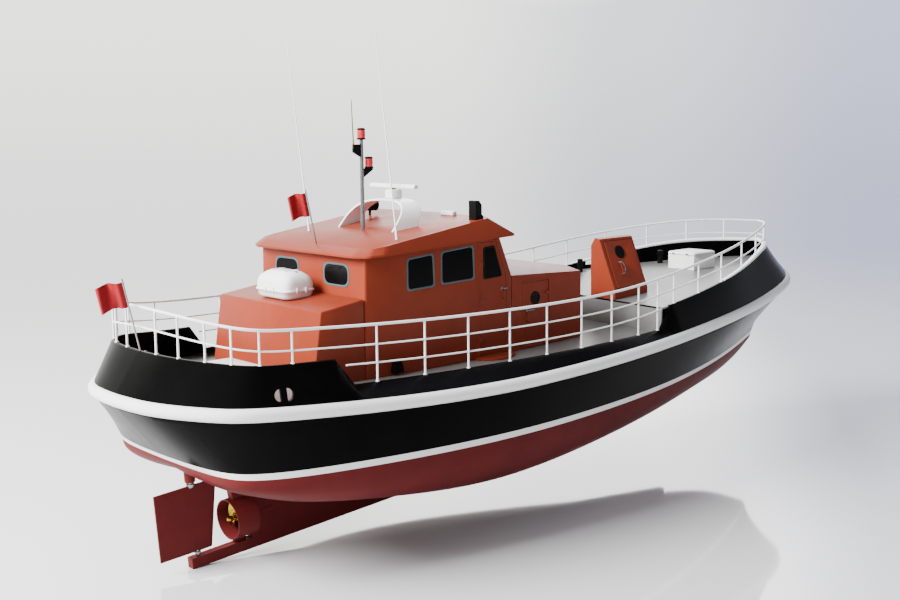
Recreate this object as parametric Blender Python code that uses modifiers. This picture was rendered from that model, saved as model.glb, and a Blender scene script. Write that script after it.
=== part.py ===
"""Stern trawler of about 16 m, in metres: +X towards the bow, +Y to port, +Z up.

The origin is on the centreline, at the design waterline, amidships.
"""

import math

import bmesh
import bpy
import numpy as np
from mathutils import Matrix, Vector

# Driving dimensions
GAP = 0.0003
KEEL_HEEL_X = -7.0
KEEL_HEEL_Z = -1.69
KEEL_RISE = 0.07
KEEL_HEIGHT = 0.16
KEEL_WIDTH = 0.14
KEEL_FRONT_X = 3.9
STRIPE_TOP = 0.09
RAIL_RADIUS = 0.095
STRAKE = 0.115
DECK_OVER_SHEER = 0.1
DECK_CAMBER = 0.06
BULWARK_THICK = 0.06
BREAK_X = 1.04
FOREDECK_Z = 1.46
FOREDECK_RISE = 0.055
HOUSE_HALF = 1.32
WALL = 0.05
HOUSE_AFT_X = -4.75
TRUNK_AFT_X = -5.7
TRUNK_TOP_Z = 2.04
FRONT_TRUNK_TOP_Z = 2.2
FRONT_TRUNK_END_X = -0.08

# Hull lines at thirteen bent stations, from the stern on the centreline to the stem.
# Each row: bottom x, z, section fullness, waterline x, y, deck edge x, y.
STATIONS = (
    (-7.22, -0.10, 2.0, -7.33, 0.00, -8.03, 0.00),
    (-7.05, -0.20, 2.2, -7.31, 0.80, -7.93, 0.80),
    (-6.75, -0.32, 2.6, -7.20, 1.50, -7.58, 1.45),
    (-6.35, -0.46, 2.8, -6.85, 1.88, -7.15, 1.84),
    (-5.60, -0.68, 2.8, -6.10, 2.17, -6.25, 2.12),
    (-4.25, -0.93, 2.6, -4.60, 2.46, -4.65, 2.44),
    (-2.40, -1.12, 2.4, -2.70, 2.58, -2.70, 2.61),
    (-0.40, -1.068, 2.2, -0.60, 2.40, -0.50, 2.56),
    (1.40, -0.942, 2.0, 1.40, 2.02, 1.60, 2.31),
    (3.00, -0.83, 1.8, 3.30, 1.46, 3.75, 1.88),
    (4.50, -0.72, 1.7, 4.90, 0.86, 5.50, 1.36),
    (5.60, -0.52, 1.6, 6.12, 0.34, 7.05, 0.72),
    (6.40, -0.22, 1.6, 6.88, 0.00, 8.06, 0.00),
)
# Bulwark top in plan, and the top rail's height, at the same stations.
BULWARK_PLAN = (
    (-7.66, 0.00),
    (-7.59, 0.80),
    (-7.30, 1.45),
    (-6.88, 1.80),
    (-6.10, 1.90),
    (-4.65, 2.13),
    (-2.70, 2.35),
    (-0.50, 2.36),
    (1.45, 2.16),
    (3.50, 1.86),
    (5.25, 1.28),
    (6.35, 0.68),
    (7.10, 0.00),
)
BULWARK_HIGH = (1.60, 1.60, 1.57, 1.53, 1.49, 1.45, 1.40, 1.40, 1.50, 1.74, 1.99, 2.05, 2.04)
BULWARK_LOW = 1.09
RAIL_HEIGHT = (2.22, 2.18, 2.08, 2.00, 1.94, 1.89, 1.87, 1.89, 2.02, 2.26, 2.44, 2.48, 2.45)
BAR_SPACING = 0.28
STEP_AFT = (-5.76, -5.46)
STEP_FORE = (0.98, 1.26)

# Places of the rails' posts, extra stations, and the fairleads in each quarter
STERN_POSTS_T = (0.5, 1.1, 1.7, 2.3, 3.0, 3.7)
SIDE_POSTS_X = (
    *(-5.1, -4.32, -3.56, -2.77, -2.0, -1.21, -0.45, 0.31),
    *(0.9, 1.42, 2.25, 3.1, 4.05, 5.0, 5.85, 6.55),
)
EXTRA_T = (0.0, 0.25, 0.8, 1.4, 2.0, 2.65, 3.35, 4.1, 11.5, 11.8, 12.0)
FAIRLEADS_T = ((3.42, 3.56), (3.66, 3.80))

# Wheelhouse, its windows and doors, the scuttle and the radar arch
ROOF_UNDER = (2.74, 2.87)
HOUSE_FRONT = (-1.73, 2.23)
HOUSE_FRONT_TOP_X = -2.0
SIDE_WINDOWS = (
    ((-3.93, 2.17), (-3.38, 2.19), (-3.40, 2.70), (-3.93, 2.66)),
    ((-3.25, 2.20), (-2.55, 2.22), (-2.57, 2.76), (-3.25, 2.71)),
)
DOOR_X = (-2.45, -1.86)
DOOR_LOW_Z = 0.98
DOOR_TOP = ((-2.42, 2.79), (-2.08, 2.80))
DOOR_PLAY = 0.006
DOOR_GLASS = ((-2.36, 2.2), (-1.95, 2.22), (-2.12, 2.72), (-2.36, 2.70))
AFT_WINDOW_Y = 0.63
AFT_WINDOW_SIZE = (0.62, 0.34)
AFT_WINDOW_Z = 2.44
FRONT_WINDOWS_Y = (-0.84, 0.0, 0.84)
HINGE_RADIUS = 0.012
COMPANION_X = (BREAK_X + 0.004, 1.95)
COMPANION_Y = (-0.55, -1.13)
ARCH_HALF = 0.69
ARCH_TOP = 3.46
ARCH_AFT = (-3.70, -3.28)
ARCH_FORE = (-3.22, -2.96)
ARCH_SQUARE = 0.66
SCANNER_X = -3.07
SCANNER_HALF = 0.555
MAST_X = -3.70
LAMP_ARM_Z = 3.955
WHIP_X = -4.03

# Shaft, nozzle, propeller and rudder
SHAFT_POINT = (-6.2, 0.0, -1.10)
NOZZLE_RADIUS = 0.31
NOZZLE_BORE = 0.275
NOZZLE_LENGTH = 0.37
NOZZLE_OFFSET = 0.03
DEADWOOD_AFT_X = -5.93
PROPELLER_RADIUS = 0.262
HUB_RADIUS = 0.055
SHAFT_RADIUS = 0.03
STOCK_POINT = (-6.88, 0.0, -1.49)
STOCK_RADIUS = 0.04
PINTLE_RADIUS = 0.03
TRUNK_RADIUS = 0.078
BEARING_PLAY = 0.0005

PARTS = "stern_trawler"
CUTTERS = "cutters"


def clear_scene():
    for obj in list(bpy.data.objects):
        bpy.data.objects.remove(obj, do_unlink=True)


def collection(name, hidden=False):
    made = bpy.data.collections.new(name)
    made.hide_render = hidden
    bpy.context.scene.collection.children.link(made)
    return made


def material(name, colour, roughness, metallic=0.0):
    made = bpy.data.materials.new(name)
    made.use_nodes = True
    shader = made.node_tree.nodes["Principled BSDF"]
    shader.inputs["Base Color"].default_value = (*colour, 1.0)
    shader.inputs["Roughness"].default_value = roughness
    shader.inputs["Metallic"].default_value = metallic
    made.diffuse_color = (*colour, 1.0)
    return made


def put(name, mesh, finish=None):
    """Link a mesh as an object; with no finish it is a helper."""
    obj = bpy.data.objects.new(name, mesh)
    (parts if finish else cutters).objects.link(obj)
    if finish:
        mesh.materials.clear()
        mesh.materials.append(finish)
    else:
        obj.hide_render = True
        obj.display_type = "WIRE"
    return obj


def from_bmesh(name, work, finish=None):
    bmesh.ops.recalc_face_normals(work, faces=work.faces)
    mesh = bpy.data.meshes.new(name)
    work.to_mesh(mesh)
    work.free()
    return put(name, mesh, finish)


def box(name, low, high, finish=None):
    """A box from its lowest to its highest corner."""
    low = Vector(low)
    high = Vector(high)
    work = bmesh.new()
    place = Matrix.Translation((low + high) / 2) @ Matrix.Diagonal((*(high - low), 1.0))
    bmesh.ops.create_cube(work, size=1.0, matrix=place)
    return from_bmesh(name, work, finish)


def rod(name, start, end, radius, finish=None, sides=16, end_radius=None):
    """A straight round bar between two points."""
    start = Vector(start)
    along = Vector(end) - start
    turn = along.to_track_quat("Z", "Y").to_matrix().to_4x4()
    work = bmesh.new()
    bmesh.ops.create_cone(
        work,
        cap_ends=True,
        segments=sides,
        radius1=radius,
        radius2=radius if end_radius is None else end_radius,
        depth=along.length,
        matrix=Matrix.Translation(start + along / 2) @ turn,
    )
    return from_bmesh(name, work, finish)


def quad(work, a, b, c, d):
    """A face through four corners, split from a to c where they aren't in one plane."""
    normal = (b.co - a.co).cross(c.co - a.co)
    if abs(normal.normalized().dot(d.co - a.co)) > 0.00002:
        work.faces.new((a, b, c))
        work.faces.new((a, c, d))
    else:
        work.faces.new((a, b, c, d))


def loft(name, rings, finish=None, closed=False):
    """A solid through rings of equal point counts; closed joins the last ring to the first.

    Twisted faces are split the same way on both halves of the ring, so that a thin wall stays even.
    """
    work = bmesh.new()
    rows = [[work.verts.new(point) for point in ring] for ring in rings]
    for near, far in zip(rows, rows[1:] + rows[:1] if closed else rows[1:]):
        for i in range(len(near)):
            j = (i + 1) % len(near)
            if i < len(near) // 2:
                quad(work, near[i], near[j], far[j], far[i])
            else:
                quad(work, near[j], far[j], far[i], near[i])
    caps = [] if closed else [work.faces.new(rows[0]), work.faces.new(rows[-1])]
    bmesh.ops.connect_verts_nonplanar(work, angle_limit=0.0001, faces=caps)
    bmesh.ops.remove_doubles(work, verts=work.verts, dist=0.00005)
    bmesh.ops.dissolve_degenerate(work, edges=work.edges, dist=0.00005)
    return from_bmesh(name, work, finish)


def outline(name, points, thickness, finish=None, frame=None):
    """A flat plate: points lie in its XY plane, and the plate is centred on that plane."""
    curve = bpy.data.curves.new(name, "CURVE")
    curve.dimensions = "2D"
    curve.fill_mode = "BOTH"
    curve.resolution_u = 1
    curve.extrude = thickness / 2
    spline = curve.splines.new("POLY")
    spline.points.add(len(points) - 1)
    for slot, (x, y) in zip(spline.points, points):
        slot.co = (x, y, 0.0, 1.0)
    spline.use_cyclic_u = True
    return settle_curve(name, curve, finish, frame or Matrix())


def tube(name, points, radius, finish=None, closed=False, detail=1):
    """A pipe along points."""
    curve = bpy.data.curves.new(name, "CURVE")
    curve.dimensions = "3D"
    curve.bevel_depth = radius
    curve.bevel_resolution = detail
    curve.use_fill_caps = not closed
    spline = curve.splines.new("POLY")
    spline.points.add(len(points) - 1)
    for slot, point in zip(spline.points, points):
        slot.co = (*point, 1.0)
    spline.use_cyclic_u = closed
    return settle_curve(name, curve, finish, Matrix())


def settle_curve(name, curve, finish, frame):
    guide = bpy.data.objects.new(name + "_guide", curve)
    cutters.objects.link(guide)
    mesh = bpy.data.meshes.new_from_object(guide.evaluated_get(bpy.context.evaluated_depsgraph_get()))
    mesh.transform(frame)
    work = bmesh.new()
    work.from_mesh(mesh)
    bpy.data.objects.remove(guide)
    bpy.data.curves.remove(curve)
    bpy.data.meshes.remove(mesh)
    bmesh.ops.remove_doubles(work, verts=work.verts, dist=0.0001)
    return from_bmesh(name, work, finish)


def turned(name, profile, start, direction, finish=None, steps=32):
    """A turned body: profile is (radius, height) down its outer side, height along direction from start."""
    mesh = bpy.data.meshes.new(name)
    mesh.from_pydata([(r, 0.0, h) for r, h in profile], [(i, i + 1) for i in range(len(profile) - 1)], [])
    obj = put(name, mesh, finish)
    screw = obj.modifiers.new("turn", "SCREW")
    screw.steps = steps
    screw.render_steps = steps
    screw.use_merge_vertices = True
    screw.merge_threshold = 0.0001
    turn = Vector(direction).to_track_quat("Z", "Y").to_matrix().to_4x4()
    obj.matrix_world = Matrix.Translation(start) @ turn
    return apply_modifiers(obj)


def apply_modifiers(obj):
    """Replace the object's mesh by its evaluated one, in place."""
    bpy.context.view_layer.update()
    graph = bpy.context.evaluated_depsgraph_get()
    mesh = bpy.data.meshes.new_from_object(obj.evaluated_get(graph))
    mesh.transform(obj.matrix_world)
    obj.modifiers.clear()
    obj.matrix_world = Matrix()
    old = obj.data
    obj.data = mesh
    bpy.data.meshes.remove(old)
    return obj


def boolean(obj, others, operation="DIFFERENCE"):
    """Cut or join the objects in others, one after the other."""
    for number, other in enumerate(others):
        step = obj.modifiers.new(f"{operation.lower()}_{number}", "BOOLEAN")
        step.operation = operation
        step.solver = "EXACT"
        step.object = other
    return obj


def fuse(obj, others):
    """Join others to obj and drop them."""
    boolean(obj, others, "UNION")
    apply_modifiers(obj)
    for other in others:
        bpy.data.objects.remove(other)
    return obj


def carve(obj, others):
    """Cut others from obj, and keep them in the collection of cutters."""
    boolean(obj, others)
    return apply_modifiers(obj)


def seat(obj, *bases):
    """Cut obj's foot to the surface of the pieces it stands on, less the usual gap."""
    raised = []
    for base in bases:
        mesh = base.data.copy()
        mesh.transform(Matrix.Translation((0.0, 0.0, GAP)) @ base.matrix_world)
        raised.append(put(f"{obj.name}_seat_on_{base.name}", mesh))
    return carve(obj, raised)


def bevel(obj, width, segments=2, angle=40):
    """Round the sharp edges."""
    weld = obj.modifiers.new("weld", "WELD")
    weld.merge_threshold = 0.0001
    step = obj.modifiers.new("round", "BEVEL")
    step.width = width
    step.segments = segments
    step.limit_method = "ANGLE"
    step.angle_limit = math.radians(angle)
    return apply_modifiers(obj)


def drop_crumbs(obj):
    """Keep only the largest connected body, and lose the slivers that a cut left beside it."""
    work = bmesh.new()
    work.from_mesh(obj.data)
    left = set(work.verts)
    bodies = []
    while left:
        front = [left.pop()]
        body = set(front)
        while front:
            near = {edge.other_vert(vert) for vert in front for edge in vert.link_edges} - body
            body |= near
            front = list(near)
        left -= body
        bodies.append(body)
    bodies.sort(key=len)
    for body in bodies[:-1]:
        bmesh.ops.delete(work, geom=list(body), context="VERTS")
    work.to_mesh(obj.data)
    work.free()
    return obj


def hinge_at(obj, origin):
    """Move the object's origin to its joint axis, leaving its shape where it is."""
    obj.data.transform(Matrix.Translation(-Vector(origin)))
    obj.location = origin
    return obj


def spline_at(values, t):
    """Natural cubic through evenly spaced values, at parameter t counted in stations."""
    values = np.asarray(values, float)
    n = len(values)
    system = np.eye(n) * 4.0
    right = np.zeros(n)
    system[0, 0] = system[-1, -1] = 1.0
    for i in range(1, n - 1):
        system[i, i - 1] = system[i, i + 1] = 1.0
        right[i] = 6.0 * (values[i - 1] - 2.0 * values[i] + values[i + 1])
    bend = np.linalg.solve(system, right)
    i = int(min(max(math.floor(t), 0), n - 2))
    u = t - i
    v = 1.0 - u
    rise = values[i] * v + values[i + 1] * u
    return rise + ((v**3 - v) * bend[i] + (u**3 - u) * bend[i + 1]) / 6.0


def column(rows, index):
    return [row[index] for row in rows]


def sheer(x):
    """Height of the rub rail's middle: low amidships, rising to both ends."""
    if x > -3.0:
        return 0.80 + 0.45 * ((x + 3.0) / 11.15) ** 1.4
    return 0.80 + 0.17 * ((-3.0 - x) / 5.1) ** 2


def keel_top(x):
    return KEEL_HEEL_Z + KEEL_RISE * (x - KEEL_HEEL_X) + KEEL_HEIGHT


def deck_edge(t):
    """The hull's edge in plan at station t."""
    return Vector((spline_at(column(STATIONS, 5), t), max(spline_at(column(STATIONS, 6), t), 0.0), 0.0))


def water_edge(t):
    return Vector((spline_at(column(STATIONS, 3), t), max(spline_at(column(STATIONS, 4), t), 0.0), 0.0))


def side_point(t, z):
    """The topsides at height z: straight from the waterline to the strake behind the rub rail."""
    top = deck_edge(t)
    low = water_edge(t)
    knuckle = sheer(top.x) - STRAKE
    share = min(max(z / knuckle, 0.0), 1.0) ** (1.0 + 0.35 * (t / 12.0) ** 3)
    point = low.lerp(top, share)
    return Vector((point.x, point.y, z))


def bottom_point(t, angle):
    """The bottom from the centreline (angle 0) to the waterline (a quarter turn), a superellipse."""
    base = Vector((spline_at(column(STATIONS, 0), t), 0.0, spline_at(column(STATIONS, 1), t)))
    full = 2.0 / spline_at(column(STATIONS, 2), t)
    edge = water_edge(t)
    out = math.sin(angle) ** full
    down = max(math.cos(angle), 0.0) ** full
    return Vector((base.x + (edge.x - base.x) * out, edge.y * out, base.z * down))


def mirrored_solid(name, half_rows, finish, camber=0.0):
    """A solid from rows of starboard points, stern to stem, each row from its low to its high end.

    The port side mirrors them, and the low and the high ends are closed across the centreline.
    """
    work = bmesh.new()
    star = [[work.verts.new((p.x, -p.y, p.z)) for p in row] for row in half_rows]
    port = [[work.verts.new((p.x, p.y, p.z)) for p in row] for row in half_rows]
    ends = [row[-1] for row in half_rows]
    crown = [work.verts.new((p.x, 0.0, p.z + camber * min(p.y / 2.0, 1.0))) for p in ends]
    for k in range(len(half_rows) - 1):
        for j in range(len(half_rows[0]) - 1):
            for rows in (star, port):
                corners = [rows[k][j], rows[k][j + 1], rows[k + 1][j + 1], rows[k + 1][j]]
                if k == len(half_rows) - 2:
                    corners = corners[1:] + corners[:1]
                quad(work, *corners)
        quad(work, star[k][0], star[k + 1][0], port[k + 1][0], port[k][0])
        quad(work, star[k][-1], crown[k], crown[k + 1], star[k + 1][-1])
        quad(work, port[k][-1], port[k + 1][-1], crown[k + 1], crown[k])
    bmesh.ops.remove_doubles(work, verts=work.verts, dist=0.0005)
    bmesh.ops.dissolve_degenerate(work, edges=work.edges, dist=0.0005)
    return from_bmesh(name, work, finish)


def hull_bottom():
    """The red bottom with the deadwood, the rudder trunk and the stern tube's boss."""
    angles = [math.pi / 2 * (i / 8) ** 0.9 for i in range(9)]
    rows = [[bottom_point(t, a) for a in angles] for t in HULL_T]
    body = mirrored_solid("hull_bottom", rows, red)
    aft = nozzle_frame(-NOZZLE_LENGTH / 2)
    plate = [
        (KEEL_FRONT_X, keel_top(KEEL_FRONT_X) + GAP),
        (KEEL_FRONT_X, keel_top(KEEL_FRONT_X) + 0.05),
        (-2.0, -0.75),
        (-5.0, -0.35),
        (-6.42, -0.38),
        (-6.33, -0.62),
        (aft.x + 0.08, aft.z + NOZZLE_RADIUS - 0.02),
        (DEADWOOD_AFT_X, aft.z + NOZZLE_RADIUS - 0.1),
        (DEADWOOD_AFT_X + 0.03, keel_top(DEADWOOD_AFT_X) + GAP),
    ]
    upright = Matrix.Rotation(math.pi / 2, 4, "X")
    deadwood = outline("deadwood", plate, KEEL_WIDTH, None, upright)
    front = nozzle_frame(NOZZLE_LENGTH / 2 + GAP)
    ring = rod("nozzle_seat", nozzle_frame(-0.4), front, NOZZLE_RADIUS + GAP, sides=48)
    carve(deadwood, [ring])
    trunk = rod("trunk_tube", stock_axis(1.09), stock_axis(1.45), TRUNK_RADIUS, sides=24)
    boss = rod("boss", shaft_axis(0.33), shaft_axis(0.9), 0.075, sides=24)
    fuse(body, [deadwood, trunk, boss])
    stock_hole = rod("stock_hole", stock_axis(1.0), stock_axis(1.41), STOCK_RADIUS + BEARING_PLAY, sides=32)
    shaft_hole = rod("shaft_hole", shaft_axis(0.2), shaft_axis(0.6), SHAFT_RADIUS + BEARING_PLAY, sides=32)
    return carve(body, [stock_hole, shaft_hole, keel_block("keel_slot", GAP)])


def boot_stripe():
    rows = [[side_point(t, GAP), side_point(t, STRIPE_TOP)] for t in HULL_T]
    return mirrored_solid("boot_stripe", rows, white)


def hull_topsides():
    """The black sides with the main deck, and the raised foredeck inside the bow bulwark."""
    rows = []
    for t in HULL_T:
        x = deck_edge(t).x
        low = STRIPE_TOP + GAP
        knuckle = sheer(x) - STRAKE
        levels = [low, low + (knuckle - low) * 0.5, knuckle, sheer(x) + DECK_OVER_SHEER]
        margin = side_point(t, levels[-1]) + inward(t, deck_edge) * (BULWARK_THICK + 0.02)
        margin.y = max(margin.y, 0.0)
        rows.append([*[side_point(t, z) for z in levels], margin])
    body = mirrored_solid("hull_topsides", rows, black, camber=DECK_CAMBER)
    fore_rows = [foredeck_row(t) for t in HULL_T if t >= 7.0]
    fore = mirrored_solid("foredeck_block", fore_rows, None, camber=0.05)
    aft_of_break = box("aft_of_break", (-2.0, -4.0, 0.0), (BREAK_X, 4.0, 3.0))
    knees = []
    for side in (-1, 1):
        low = (0.9, 2.35 * side - 0.2, 0.0)
        knees.append(box(f"knee_{side}", low, (1.1, 2.35 * side + 0.2, 3.0)))
    carve(fore, [aft_of_break, *knees, loft("bulwark_seat", bulwark_rings(0.005), closed=True)])
    return fuse(body, [drop_crumbs(fore)])


def foredeck_z(x):
    """The foredeck's height at its edge: it rises forward, less and less."""
    run = max(x - BREAK_X, 0.0)
    return FOREDECK_Z + FOREDECK_RISE * run * (1.0 - run / 16.0)


def inward(t, curve):
    """The horizontal normal that points inboard, for the port side of a plan curve."""
    if t < 0.001 or t > 11.999:
        return Vector((1.0 if t < 6.0 else -1.0, 0.0, 0.0))
    along = curve(min(t + 0.02, 12.0)) - curve(max(t - 0.02, 0.0))
    normal = Vector((along.y, -along.x, 0.0))
    return normal.normalized()


def bulwark_base(t):
    edge = deck_edge(t)
    return Vector((edge.x, edge.y, sheer(edge.x) + DECK_OVER_SHEER + 0.003))


def bulwark_plan(t):
    y = spline_at(column(BULWARK_PLAN, 1), t)
    return Vector((spline_at(column(BULWARK_PLAN, 0), t), max(y, 0.0), 0.0))


def bulwark_top(t):
    """The bulwark's outer top edge, with the slopes down to its low midship length."""
    plan = bulwark_plan(t)
    high = spline_at(BULWARK_HIGH, t)
    aft, low_aft = STEP_AFT
    low_fore, fore = STEP_FORE
    down = min(max((plan.x - aft) / (low_aft - aft), 0.0), 1.0)
    up = min(max((fore - plan.x) / (fore - low_fore), 0.0), 1.0)
    low = min(down, up)
    return Vector((plan.x, plan.y, high + (BULWARK_LOW - high) * low))


def foredeck_row(t):
    """The foredeck block's side: inboard of the bulwark plating, from the deck up."""
    base = bulwark_base(t)
    top = bulwark_top(t)
    height = foredeck_z(bulwark_plan(t).x)
    high = spline_at(BULWARK_HIGH, t)
    share = min(max((height - base.z) / (high - base.z), 0.0), 1.0)
    inset = inward(t, deck_edge) * BULWARK_THICK / 2
    low = base + inset - Vector((0.0, 0.0, 0.05))
    up = base.lerp(Vector((top.x, top.y, high)), share) + inset
    low.y = max(low.y, 0.0)
    up.y = max(up.y, 0.0)
    return [low, Vector((up.x, up.y, height))]


def bulwark_ring(t, side, spare=0.0):
    """Outer foot, outer top, inner top, inner foot; spare thickens it all round for a cutter."""
    inset = inward(t, deck_edge)
    base = bulwark_base(t) - inset * spare - Vector((0.0, 0.0, spare))
    top = bulwark_top(t) - inset * spare + Vector((0.0, 0.0, spare))
    across = inset * (BULWARK_THICK + 2 * spare)
    corners = [base, top, top + across, base + across]
    return [Vector((p.x, p.y * side, p.z)) for p in corners]


def station_where(curve, x, low=0.0, high=12.0):
    """The station parameter at which a plan curve reaches x."""
    for _ in range(40):
        middle = (low + high) / 2
        if curve(middle).x < x:
            low = middle
        else:
            high = middle
    return (low + high) / 2


def post_stations():
    """Where the rails' stanchions stand."""
    return [*STERN_POSTS_T, *[station_where(bulwark_plan, x) for x in SIDE_POSTS_X]]


def bulwark_rings(spare=0.0):
    """The plating's rings all the way round, down the starboard side and back along the port side."""
    star = [bulwark_ring(t, -1, spare) for t in HULL_T]
    return star + [bulwark_ring(t, 1, spare) for t in reversed(HULL_T[1:-1])]


def bulwark():
    """The plating round the deck: high at the stern and the bow, low amidships.

    It has a pair of fairleads in each quarter and a square port in the port bow.
    """
    body = loft("bulwark", bulwark_rings(), black, closed=True)
    holes = [box("bow_port", (3.55, 1.5, 1.66), (3.9, 2.6, 1.8))]
    for side in (-1, 1):
        for first, last in FAIRLEADS_T:
            middle = (first + last) / 2
            centre = bulwark_base(middle).lerp(bulwark_top(middle), 0.27)
            half_width = (bulwark_base(last) - bulwark_base(first)).length / 2
            low = (centre.x - half_width, side * centre.y - 0.3, centre.z - 0.075)
            high = (centre.x + half_width, side * centre.y + 0.3, centre.z + 0.075)
            holes.append(bevel(box(f"fairlead_{side}_{first}", low, high), 0.045, 2, 60))
    return carve(body, holes)


def rub_rail():
    """The white half-round fender all round at deck-edge height."""
    profile = [(math.sin(a), math.cos(a)) for a in [math.pi * i / 8 for i in range(9)]]

    def ring(t, side):
        edge = deck_edge(t)
        out = -inward(t, deck_edge)
        middle = Vector((edge.x, edge.y, sheer(edge.x))) + out * GAP
        up = Vector((0.0, 0.0, RAIL_RADIUS))
        points = [middle + out * (RAIL_RADIUS * s) + up * c for s, c in profile]
        return [Vector((p.x, p.y * side, p.z)) for p in points]

    rings = [ring(t, 1) for t in HULL_T] + [ring(t, -1) for t in reversed(HULL_T[1:-1])]
    return loft("rub_rail", rings, white, closed=True)


def keel_block(name, spare=0.0, finish=None):
    """The keel's straight bar, thicker by spare for a cutter."""
    slope = math.atan(KEEL_RISE)
    length = (KEEL_FRONT_X - KEEL_HEEL_X) / math.cos(slope)
    height = KEEL_HEIGHT * math.cos(slope)
    size = Matrix.Diagonal((length + spare, KEEL_WIDTH + 2 * spare, height + 2 * spare, 1.0))
    turn = Matrix.Translation((KEEL_HEEL_X, 0.0, KEEL_HEEL_Z)) @ Matrix.Rotation(-slope, 4, "Y")
    work = bmesh.new()
    centre = Matrix.Translation(((length + spare) / 2, 0.0, height / 2))
    bmesh.ops.create_cube(work, size=1.0, matrix=turn @ centre @ size)
    return from_bmesh(name, work, finish)


def keel_bar():
    """The straight keel with its sole piece, which carries the rudder's heel."""
    body = keel_block("keel_bar", 0.0, red)
    socket = rod("pintle_hole", stock_axis(-0.12), stock_axis(0.1), PINTLE_RADIUS + BEARING_PLAY, sides=32)
    return carve(body, [socket])


def stock_axis(distance):
    """A point on the rudder's axis, which stands square to the keel."""
    return Vector(STOCK_POINT) + Vector((-KEEL_RISE, 0.0, 1.0)).normalized() * distance


def shaft_axis(distance):
    """A point on the shaft's line, which runs parallel to the keel; forward is positive."""
    return Vector(SHAFT_POINT) + Vector((1.0, 0.0, KEEL_RISE)).normalized() * distance


def nozzle_frame(distance):
    return shaft_axis(distance + NOZZLE_OFFSET)


def nozzle():
    """The ring round the propeller: a wing section turned about the shaft's line, on a foot."""
    half = NOZZLE_LENGTH / 2
    profile = [
        (NOZZLE_RADIUS, half * 0.7),
        (NOZZLE_RADIUS - 0.004, -half),
        (NOZZLE_BORE + 0.016, -half),
        (NOZZLE_BORE, -half * 0.2),
        (NOZZLE_BORE, half * 0.3),
        (NOZZLE_BORE + 0.012, half * 0.85),
        (NOZZLE_BORE + 0.022, half),
        (NOZZLE_RADIUS - 0.008, half),
        (NOZZLE_RADIUS, half * 0.7),
    ]
    direction = shaft_axis(1.0) - shaft_axis(0.0)
    ring = turned("nozzle", profile[::-1], nozzle_frame(0.0), direction, red, 48)
    centre = nozzle_frame(0.0)
    low = keel_top(centre.x + 0.1) + GAP + 0.004
    high = centre.z - NOZZLE_BORE - 0.012
    foot = box("nozzle_foot", (centre.x - 0.1, -0.03, low), (centre.x + 0.1, 0.03, high))
    return fuse(ring, [foot])


def propeller():
    """Four skewed blades on a hub with its cap, and the end of the shaft in the stern tube."""
    direction = shaft_axis(1.0) - shaft_axis(0.0)
    profile = [(0.0, -0.16), (0.02, -0.155), (0.035, -0.13), (0.045, -0.09), (HUB_RADIUS, -0.07)]
    profile += [(HUB_RADIUS, 0.08), (SHAFT_RADIUS, 0.085), (SHAFT_RADIUS, 0.5), (0.0, 0.5)]
    body = turned("propeller", profile[::-1], shaft_axis(0.0), direction, brass, 32)
    turn = direction.to_track_quat("Z", "Y").to_matrix().to_4x4()
    frame = Matrix.Translation(shaft_axis(0.0)) @ turn
    blades = []
    for number in range(4):
        rings = []
        for step in range(6):
            share = step / 5
            radius = HUB_RADIUS * 0.7 + (PROPELLER_RADIUS - HUB_RADIUS * 0.7) * share
            chord = 0.06 + 0.15 * math.sin(math.pi * min(share * 0.85 + 0.12, 1.0)) ** 0.8
            pitch = math.atan2(0.42, 2 * math.pi * max(radius, 0.08))
            skew = 0.35 * share**2
            thick = 0.009 * (1.0 - 0.6 * share)
            ring = []
            for along, off in ((-0.5, 0.0), (0.0, thick), (0.5, 0.0), (0.0, -thick)):
                around = along * chord * math.cos(pitch) / radius + skew + (number + 0.5) * math.pi / 2
                lift = along * chord * math.sin(pitch) + off
                ring.append(Vector((radius * math.cos(around), radius * math.sin(around), lift)))
            rings.append([frame @ point for point in ring])
        blades.append(loft(f"blade_{number}", rings))
    fuse(body, blades)
    return hinge_at(body, SHAFT_POINT)


def rudder():
    """A deep plate on a stock that runs up into the trunk, with a pintle in the sole piece."""
    slope = math.atan(KEEL_RISE)
    frame = Matrix.Translation(Vector(STOCK_POINT)) @ Matrix.Rotation(-slope, 4, "Y")

    def ring(height, front, back, thick):
        chord = front + back
        points = []
        for share, width in ((0.0, 0.25), (0.12, 0.85), (0.4, 1.0), (0.75, 0.6), (1.0, 0.12)):
            points.append((front - chord * share, thick * width / 2))
        outer = [Vector((x, y, height)) for x, y in points]
        inner = [Vector((x, -y, height)) for x, y in reversed(points)]
        return [frame @ p for p in outer + inner]

    body = loft("rudder", [ring(0.035, 0.25, 0.60, 0.075), ring(1.03, 0.42, 0.60, 0.085)], red)
    stock = rod("stock", stock_axis(0.9), stock_axis(1.4), STOCK_RADIUS, sides=32)
    pintle = rod("pintle", stock_axis(-0.09), stock_axis(0.2), PINTLE_RADIUS, sides=32)
    fuse(body, [stock, pintle])
    return hinge_at(body, STOCK_POINT)


def rail_point(t, side, drop=0.0):
    """The rails stand over the middle of the bulwark's top edge."""
    plan = bulwark_plan(t) + inward(t, deck_edge) * (BULWARK_THICK / 2)
    return Vector((plan.x, side * max(plan.y, 0.0), spline_at(RAIL_HEIGHT, t) - drop))


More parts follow.
